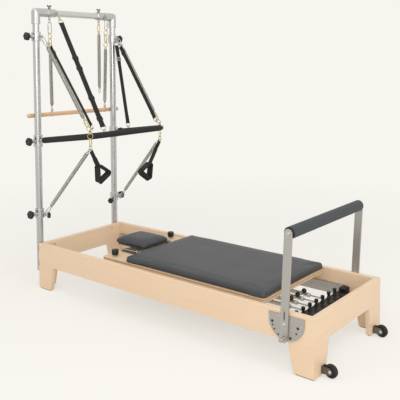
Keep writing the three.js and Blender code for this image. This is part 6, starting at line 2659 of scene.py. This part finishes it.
@dataclass
class Carriage(Assembly):
    """The sliding platform with its pad, shoulder posts, headrest, rollers and springs."""

    head: float = -0.540
    foot: float = 0.800
    width: float = 0.704
    top: float = 0.343
    thick: float = 0.025
    corner: float = 0.018
    pad_head: float = -0.319
    pad_thick: float = 0.0447
    pad_crown: float = 0.003
    overhang: float = 0.009
    fullness: float = 0.004
    post_y: float = 0.293
    post_x: float = 0.066
    post_radius: float = 0.024
    post_height: float = 0.037
    axles: tuple[tuple[str, float], ...] = (("head_wheelset", -0.390), ("foot_wheelset", 0.650))
    axle_z: float = 0.2783
    lug_y: float = 0.338
    cradle_y: float = 0.170
    cradle: tuple[float, float] = (-0.518, -0.378)
    roller: float = 0.024
    tread: float = 0.016
    track_y: float = 0.3872
    track_wall: float = 0.005

    def build(self) -> None:
        """Builds everything that slides."""
        self.platform()
        length = self.pad_thick + self.pad_crown
        half = self.width / 2 + self.overhang
        low = at(self.pad_head - self.fullness, -half, self.top + GAP)
        high = at(self.foot + self.fullness, half, self.top + GAP + length)
        pad = Cushion("carriage_cushion", low, high, 0.022, 0.006, self.pad_crown, 0.003, 0.0085, 0.006)
        piece = pad.build()
        self.hand(piece, "vinyl", "carriage_pad", body="carriage")
        Headrest(self.top + GAP).build()
        for name, x in self.axles:
            self.wheelset(name, x)
        CarriageSprings(self.top - self.thick - GAP).build()

    def platform(self) -> None:
        """Builds the plywood platform with its lugs and shoulder posts."""
        half, r = self.width / 2, self.corner
        corners = ((self.foot - r, -half + r, 270), (self.foot - r, half - r, 0),
                   (self.head + r, half - r, 90), (self.head + r, -half + r, 180))
        outline = [
            point for x, y, start in corners
            for point in flat_arc(x + SHIFT, y, r, start, start + 90, 8)
        ]
        stand = Matrix.Translation((0, 0, self.top - self.thick / 2))
        shape = Shape().use(PLYWOOD)
        shape.plate(outline, [], self.thick, stand, 0.0012)
        self.hand(shape.made("platform_board"), "wood", "carriage_platform", body="carriage")
        metal = Shape().use(BOLT)
        for _, x in self.axles:
            for y in (-self.lug_y, self.lug_y):
                low = self.top - self.thick - GAP
                foot = at(x - 0.022, y - 0.006, low - 0.0495)
                metal.block(foot, at(x + 0.022, y + 0.006, low), 0.002)
                metal.block(at(x - 0.030, y - 0.014, low - 0.004), at(x + 0.030, y + 0.014, low), 0.0015)
                metal.rod(0.0105, at(x, y - 0.0085, self.axle_z), at(x, y + 0.0085, self.axle_z), 24)
        self.hand(metal.made("axle_lugs"), "wood", body="carriage")
        posts = Shape()
        for sign in SIDES.values():
            seat = at(self.head + self.post_x, sign * self.post_y, self.top)
            posts.use(BOLT)
            posts.turned([(0.020, 0.0002), (0.020, 0.0018), (0.0185, 0.003), (0.009, 0.0032)], seat, UP,
                         36)
            posts.rod(0.008, seat, seat + UP * 0.020, 24)
            posts.use(BLACK)
            r, h = self.post_radius, self.post_height
            posts.turned(
                [(r * 0.55, 0.0), (r * 0.93, 0.0008), (r, 0.004), (r * 0.985, h * 0.45),
                 (r, h * 0.86), (r * 0.95, h * 0.955), (r * 0.8, h * 0.992), (r * 0.45, h),
                 (0.0002, h)],
                seat + UP * 0.009, UP, 44,
            )
        self.hand(posts.made("shoulder_posts"), "wood", body="carriage")
        self.cradles()

    def cradles(self) -> None:
        """Builds the low bracket on each side of the headrest, with its rod and end rollers."""
        shape = Shape()
        head, foot = self.cradle
        z = self.top + 0.0002
        for y in (-self.cradle_y, self.cradle_y):
            shape.use(BRONZE)
            shape.block(at(head, y - 0.024, z), at(foot, y + 0.024, z + 0.004), 0.0015)
            for edge in (y - 0.022, y + 0.022):
                shape.block(at(head + 0.010, edge - 0.002, z + 0.003),
                            at(foot - 0.010, edge + 0.002, z + 0.016), 0.0012)
            shape.use(PLATED)
            shape.rod(0.0055, at(head - 0.004, y, z + 0.011), at(foot + 0.004, y, z + 0.011), 20)
            for x in (head + 0.004, foot - 0.014):
                shape.turned([(0.004, 0), (0.0085, 0.001), (0.0095, 0.003), (0.0095, 0.013),
                              (0.0085, 0.015), (0.004, 0.016)], at(x, y, z + 0.0115), ALONG, 24)
                shape.turned([(0.0045, 0.0), (0.0045, 0.002), (0.003, 0.0028), (0.0002, 0.0028)],
                             at(x + 0.008, y + 0.014, z + 0.004), UP, 18)
        self.hand(shape.made("headrest_cradles"), "plate_steel", body="carriage")

    def wheelset(self, name: str, x: float) -> None:
        """Builds one axle with its two rollers.

        Args:
            name: its node and its body.
            x: where its axle lies.
        """
        inner = self.track_y - self.track_wall - 2 * GAP - self.tread
        shape = Shape().use(BOLT)
        shape.rod(0.006, at(x, -inner - self.tread, self.axle_z), at(x, inner + self.tread, self.axle_z),
                  24)
        for sign in SIDES.values():
            r, t = self.roller, self.tread
            spot = at(x, sign * inner, self.axle_z)
            way = ACROSS * sign
            shape.use(BLACK)
            shape.turned([(0.0118, 0.0006), (r - 0.002, 0.0), (r, 0.002), (r, t - 0.002),
                          (r - 0.002, t), (0.0118, t - 0.0006)], spot, way, 40, True)
            shape.use(BOLT)
            shape.turned([(0.0062, 0.001), (0.0116, 0.0008), (0.0116, t - 0.0008), (0.0062, t - 0.001)],
                         spot, way, 32, True)
            shape.turned([(0.0085, -0.004), (0.0085, 0.0004), (0.0062, 0.0006), (0.0062, -0.004)], spot,
                         way, 6, True)
        self.hand(shape.made(f"{name}_rollers"), "black_plastic", name, body=name)


# footbar and transport wheels


@dataclass
class Footbar(Assembly):
    """The padded footbar on its two flat arms, with the pull pin at the foot of one arm."""

    pivot_x: float = 0.979
    pivot_z: float = 0.273
    rise: float = 0.503
    lean: float = 2.5
    width: float = 0.050
    thick: float = 0.010
    tail: float = 0.081
    inner: float = 0.4291
    grip: float = 0.034
    tube: float = 0.0125

    @property
    def stand(self) -> Matrix:
        """Where the footbar's own frame lies: its pivot, leaning a little to the foot end."""
        turn = Matrix.Rotation(math.radians(self.lean), 4, "Y")
        return Matrix.Translation(at(self.pivot_x, 0, self.pivot_z)) @ turn

    def build(self) -> None:
        """Builds the arms, the tube, the grip and the pull pin."""
        shape = Shape()
        for sign in SIDES.values():
            self.arm(shape, sign)
        reach = self.inner + self.thick / 2
        shape.use(BOLT)
        shape.rod(self.tube, Vector((0, -reach, self.rise)), Vector((0, reach, self.rise)), 32)
        self.place(shape.made("footbar_arms"), "plate_steel", "footbar")
        half = self.inner - 0.0012
        path = Shape()
        end = half - 0.0045
        path.points = straight(Vector((0, -end, self.rise)), Vector((0, end, self.rise)), 30)
        sizes = {"Radius": self.grip, "Ripple": 0.0001, "Pitch": 0.009, "Step": 0.0045, "Sides": 40}
        foam = SLEEVE.run("footbar_foam", GRIP_FOAM, sizes, path)
        self.place(foam, "grip_foam", "footbar_grip")
        caps = Shape().use(BLACK)
        for way in (-1, 1):
            caps.turned(
                [(self.tube + 0.0004, half - 0.006), (self.grip - 0.0005, half - 0.006),
                 (self.grip - 0.0005, half - 0.002), (self.grip - 0.003, half),
                 (self.tube + 0.0004, half)],
                Vector((0, 0, self.rise)), ACROSS * way, 44, True,
            )
        self.place(caps.made("footbar_end_discs"), "grip_foam")
        self.pull_pin()

    def place(self, piece: bpy.types.Object, slot: str, *nodes: str, body: str = "footbar") -> None:
        """Moves a piece from the footbar's own frame to its place and hands it over."""
        piece.data.transform(self.stand)
        self.hand(piece, slot, *nodes, body=body)

    def arm(self, shape: Shape, sign: int) -> None:
        """Adds one flat arm with round ends, a slot, two holes and two bolts.

        Args:
            shape: the shape that it is added to.
            sign: -1 on the near side, 1 on the far side.
        """
        half = self.width / 2
        outline = flat_arc(0, -self.tail, half, 180, 360, 24) + flat_arc(0, self.rise, half, 0, 180, 24)
        slot = flat_arc(0, 0.066, 0.004, 0, 180, 8) + flat_arc(0, 0.024, 0.004, 180, 360, 8)
        holes = [slot, circle(-0.009, 0.076, 0.003, 16), circle(0, -self.tail, 0.0043, 20)]
        stand = upright(ACROSS * (sign * (self.inner + self.thick / 2)))
        shape.use(BRUSHED_Z)
        shape.plate(outline, holes, self.thick, stand, 0.001)
        shape.use(BOLT)
        outer = sign * (self.inner + self.thick)
        for z in (self.rise, 0.0):
            seat = Vector((0, outer, z))
            way = ACROSS * sign
            shape.turned([(0.0125, -0.001), (0.0125, 0.001), (0.0112, 0.0016)], seat, way, 32)
            shape.turned(
                [(0.011, 0.001), (0.011, 0.0035), (0.0092, 0.0066), (0.0062, 0.0079), (0.0042, 0.008),
                 (0.0040, 0.0050), (0.0002, 0.0048)],
                seat, way, 32,
            )

    def pull_pin(self) -> None:
        """Builds the spring-loaded pin that drops into the plate's holes."""
        face = self.inner + self.thick
        shape = Shape().use(PLATED)
        z = -self.tail
        shape.rod(0.004, Vector((0, -self.inner, z)), Vector((0, -face - 0.018, z)), 20)
        seat = Vector((0, -face - GAP, z))
        shape.turned([(0.0115, 0), (0.0115, 0.004), (0.0098, 0.005)], seat, -ACROSS, 6)
        shape.turned([(0.0088, 0.0048), (0.0088, 0.015), (0.0078, 0.0177)], seat, -ACROSS, 28)
        shape.turned(
            [(0.008, 0.0178), (0.0108, 0.0182), (0.0122, 0.0200), (0.0122, 0.0235), (0.0112, 0.0250),
             (0.0122, 0.0265), (0.0122, 0.0300), (0.0108, 0.0315), (0.0002, 0.0319)],
            seat, -ACROSS, 36,
        )
        self.place(shape.made("pull_pin"), "plate_steel", "footbar_plunger", body="footbar_plunger")


@dataclass
class TransportWheels(Assembly):
    """The two wheels beyond the foot panel, each in a bent fork."""

    x: float = 1.209
    y: float = 0.331
    z: float = 0.040
    radius: float = 0.0375
    width: float = 0.024
    start: float = -0.0507

    def build(self) -> None:
        """Builds both wheels and forks."""
        for side, sign in SIDES.items():
            centre = at(self.x, sign * self.y, self.z)
            self.wheel(side, centre)
            self.fork(side, centre)

    def wheel(self, side: str, centre: Vector) -> None:
        """Builds one wheel: a ribbed tyre on a hub with a bushed bore.

        Args:
            side: near or far.
            centre: the wheel's middle.
        """
        half, r = self.width / 2, self.radius
        shape = Shape().use(RUBBER)
        profile = [(0.0255, -half + 0.003), (0.0265, -half + 0.0008), (r - 0.006, -half),
                   (r - 0.0012, -half + 0.0045)]
        for i in range(5):
            y = -half + 0.006 + i * 0.003
            profile += [(r, y - 0.0009), (r, y + 0.0006), (r - 0.0007, y + 0.0011), (r - 0.0007, y + 0.0019)]
        profile += [(r - 0.0012, half - 0.0045), (r - 0.006, half), (0.0265, half - 0.0008),
                    (0.0255, half - 0.003)]
        shape.turned(profile, centre, ACROSS, 56, True)
        shape.use(BLACK)
        hub = [(0.0046, -half + 0.0005), (0.0105, -half + 0.0002), (0.0115, -half + 0.0025),
               (0.0235, -half + 0.0045), (0.0257, -half + 0.003), (0.0257, half - 0.003),
               (0.0235, half - 0.0045), (0.0115, half - 0.0025), (0.0105, half - 0.0002),
               (0.0046, half - 0.0005)]
        shape.turned(hub, centre, ACROSS, 44, True)
        self.hand(shape.made(f"{side}_tyre"), "foot_rubber", f"{side}_wheel", body=f"{side}_wheel")

    def fork(self, side: str, centre: Vector) -> None:
        """Builds one fork: a back plate, two rounded cheeks and the axle bolt.

        Args:
            side: near or far.
            centre: the wheel's middle.
        """
        inside = self.width / 2 + 0.0015
        outside = inside + 0.004
        shape = Shape().use(BRONZE)
        shape.block(centre + Vector((self.start, -outside, -0.020)),
                    centre + Vector((self.start + 0.004, outside, 0.020)), 0.0012)
        for way in (-1, 1):
            back = self.start + 0.0004
            outline = [(back, 0.020), (back, -0.020), *flat_arc(-0.008, 0, 0.020, -90, 90, 18)]
            stand = upright(centre + ACROSS * (way * (inside + 0.002)))
            shape.plate(outline, [], 0.004, stand, 0.0006)
        shape.use(BOLT)
        shape.rod(0.004, centre - ACROSS * outside, centre + ACROSS * outside, 20)
        for way in (-1, 1):
            shape.turned([(0.0092, outside - 0.0002), (0.0092, outside + 0.0008), (0.0078, outside + 0.001)],
                         centre, ACROSS * way, 28)
            shape.turned([(0.0078, outside + 0.0008), (0.0078, outside + 0.0042), (0.0066, outside + 0.005)],
                         centre, ACROSS * way, 6)
        self.hand(shape.made(f"{side}_fork"), "bracket_metal", f"{side}_wheel_bracket")


# studio


@dataclass
class Studio:
    """The pale floor, the soft lamps and the camera of the photograph."""

    ground: Tone = (0.93, 0.912, 0.860)
    matt: Tone = (0.86, 0.845, 0.80)
    sky: float = 0.76
    half: float = 30.0
    fade: tuple[float, float] = (2.2, 5.0)
    lens: float = 58.796
    shift: tuple[float, float] = (0.0018, -0.2348)
    stand: tuple[float, float, float] = (2.7766, -3.4087, 1.7040)

    def build(self) -> None:
        """Builds the floor, the world, the lamps and the camera."""
        self.floor()
        self.world()
        self.lamp("key", (3.4, -4.6, 2.8), (-0.6, 0, 1.0), (2.0, 4.4), 95)
        self.lamp("fill", (5.0, -0.6, 2.6), (0, 0, 0.4), (2.4, 2.4), 35)
        self.lamp("top", (-0.6, -1.6, 5.2), (0, 0, 0.4), (3.0, 3.0), 25)
        self.camera()

    def floor(self) -> None:
        """Builds a wide floor that keeps a soft shadow near the object."""
        mesh = bpy.data.meshes.new("floor")
        half = self.half
        corners = [(-half, -half, 0), (half, -half, 0), (half, half, 0), (-half, half, 0)]
        mesh.from_pydata(corners, [], [(0, 1, 2, 3)])
        material = bpy.data.materials.new("pale_floor")
        material.use_nodes = True
        tree = material.node_tree
        tree.nodes.clear()
        sketch = Sketch(tree)
        tone = (*self.ground, 1)
        place = sketch.add("ShaderNodeTexCoord").outputs["Object"]
        away = sketch.vector("LENGTH", place).outputs["Value"]
        fade = sketch.spread(away, *self.fade, 0.0, 1.0)
        cloud = sketch.add("ShaderNodeTexNoise", {"Vector": place, "Scale": 2.0}).outputs[0]
        rough = sketch.spread(cloud, 0.0, 1.0, 0.8, 0.95)
        matt = sketch.add("ShaderNodeBsdfDiffuse", {"Color": (*self.matt, 1), "Roughness": rough})
        light = sketch.add("ShaderNodeEmission", {"Color": tone, "Strength": 1.0}).outputs[0]
        path = sketch.add("ShaderNodeLightPath").outputs
        seen = sketch.sum("MAXIMUM", path["Is Camera Ray"], path["Is Glossy Ray"])
        lift = sketch.sum("MULTIPLY", seen, sketch.sum("MULTIPLY_ADD", fade, 0.4, 0.6))
        near = sketch.add("ShaderNodeMixShader", {0: lift, 1: matt.outputs[0], 2: light}).outputs[0]
        sketch.add("ShaderNodeOutputMaterial", {0: near})
        mesh.materials.append(material)
        placed("floor", mesh)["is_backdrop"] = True

    def world(self) -> None:
        """Sets a plain world: the pale backdrop to the camera and in gloss, soft light elsewhere."""
        world = bpy.data.worlds.new("studio")
        world.use_nodes = True
        tree = world.node_tree
        tree.nodes.clear()
        sketch = Sketch(tree)
        path = sketch.add("ShaderNodeLightPath").outputs
        seen = sketch.sum("MAXIMUM", path["Is Camera Ray"], path["Is Glossy Ray"])
        seen = sketch.sum("MAXIMUM", seen, path["Is Transmission Ray"])
        soft = sketch.add("ShaderNodeBackground", {0: (1, 1, 1, 1), 1: self.sky}).outputs[0]
        shown = sketch.add("ShaderNodeBackground", {0: (*self.ground, 1), 1: 1.0}).outputs[0]
        mixed = sketch.add("ShaderNodeMixShader", {0: seen, 1: soft, 2: shown}).outputs[0]
        sketch.add("ShaderNodeOutputWorld", {0: mixed})
        bpy.context.scene.world = world

    def lamp(self, name: str, place: Sequence[float], aim: Sequence[float],
             size: tuple[float, float], power: float) -> None:
        """Adds one soft lamp, of a width and height, that faces a point.

        Args:
            name: its name.
            place: where it hangs.
            aim: the point that it faces.
            size: its width and height.
            power: its power in watts.
        """
        light = bpy.data.lights.new(name, "AREA")
        light.shape = "RECTANGLE"
        light.size, light.size_y = size
        light.energy = power
        lamp = placed(name, light)
        lamp.location = place
        lamp.visible_camera = False
        lamp.rotation_euler = (Vector(aim) - Vector(place)).to_track_quat("-Z", "Y").to_euler()

    def camera(self) -> None:
        """Sets the camera at the photograph's place, angle and framing."""
        view = bpy.data.cameras.new("view")
        view.sensor_width = 36
        view.lens = self.lens
        view.shift_x, view.shift_y = self.shift
        camera = placed("view", view)
        right, up = Vector((0.780383, 0.625295, -0.002902)), Vector((-0.042218, 0.057317, 0.997463))
        back = Vector((0.623875, -0.778281, 0.071128))
        turn = Matrix((right, up, back)).transposed().to_4x4()
        camera.matrix_world = Matrix.Translation(self.stand) @ turn
        bpy.context.scene.camera = camera


def main() -> None:
    """Builds the studio and every sub-assembly in order."""
    global COIL, ROW, SLEEVE
    logging.basicConfig(level=logging.INFO, format="%(name)s: %(message)s")
    bpy.context.scene.view_settings.view_transform = "Standard"
    COIL, ROW, SLEEVE = CoilTree(), RowTree(), SleeveTree()
    Studio().build()
    for assembly in (Bed(), Tower(), PushBar(), RollDown(), Carriage(), Footbar(), TransportWheels()):
        log.info("building %s", type(assembly).__name__)
        assembly.build()
    boxes = {"cad": cad_box, "visual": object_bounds()}
    {name: [list(corner) for corner in box] for name, box in boxes.items()}


if __name__ == "__main__":
    main()
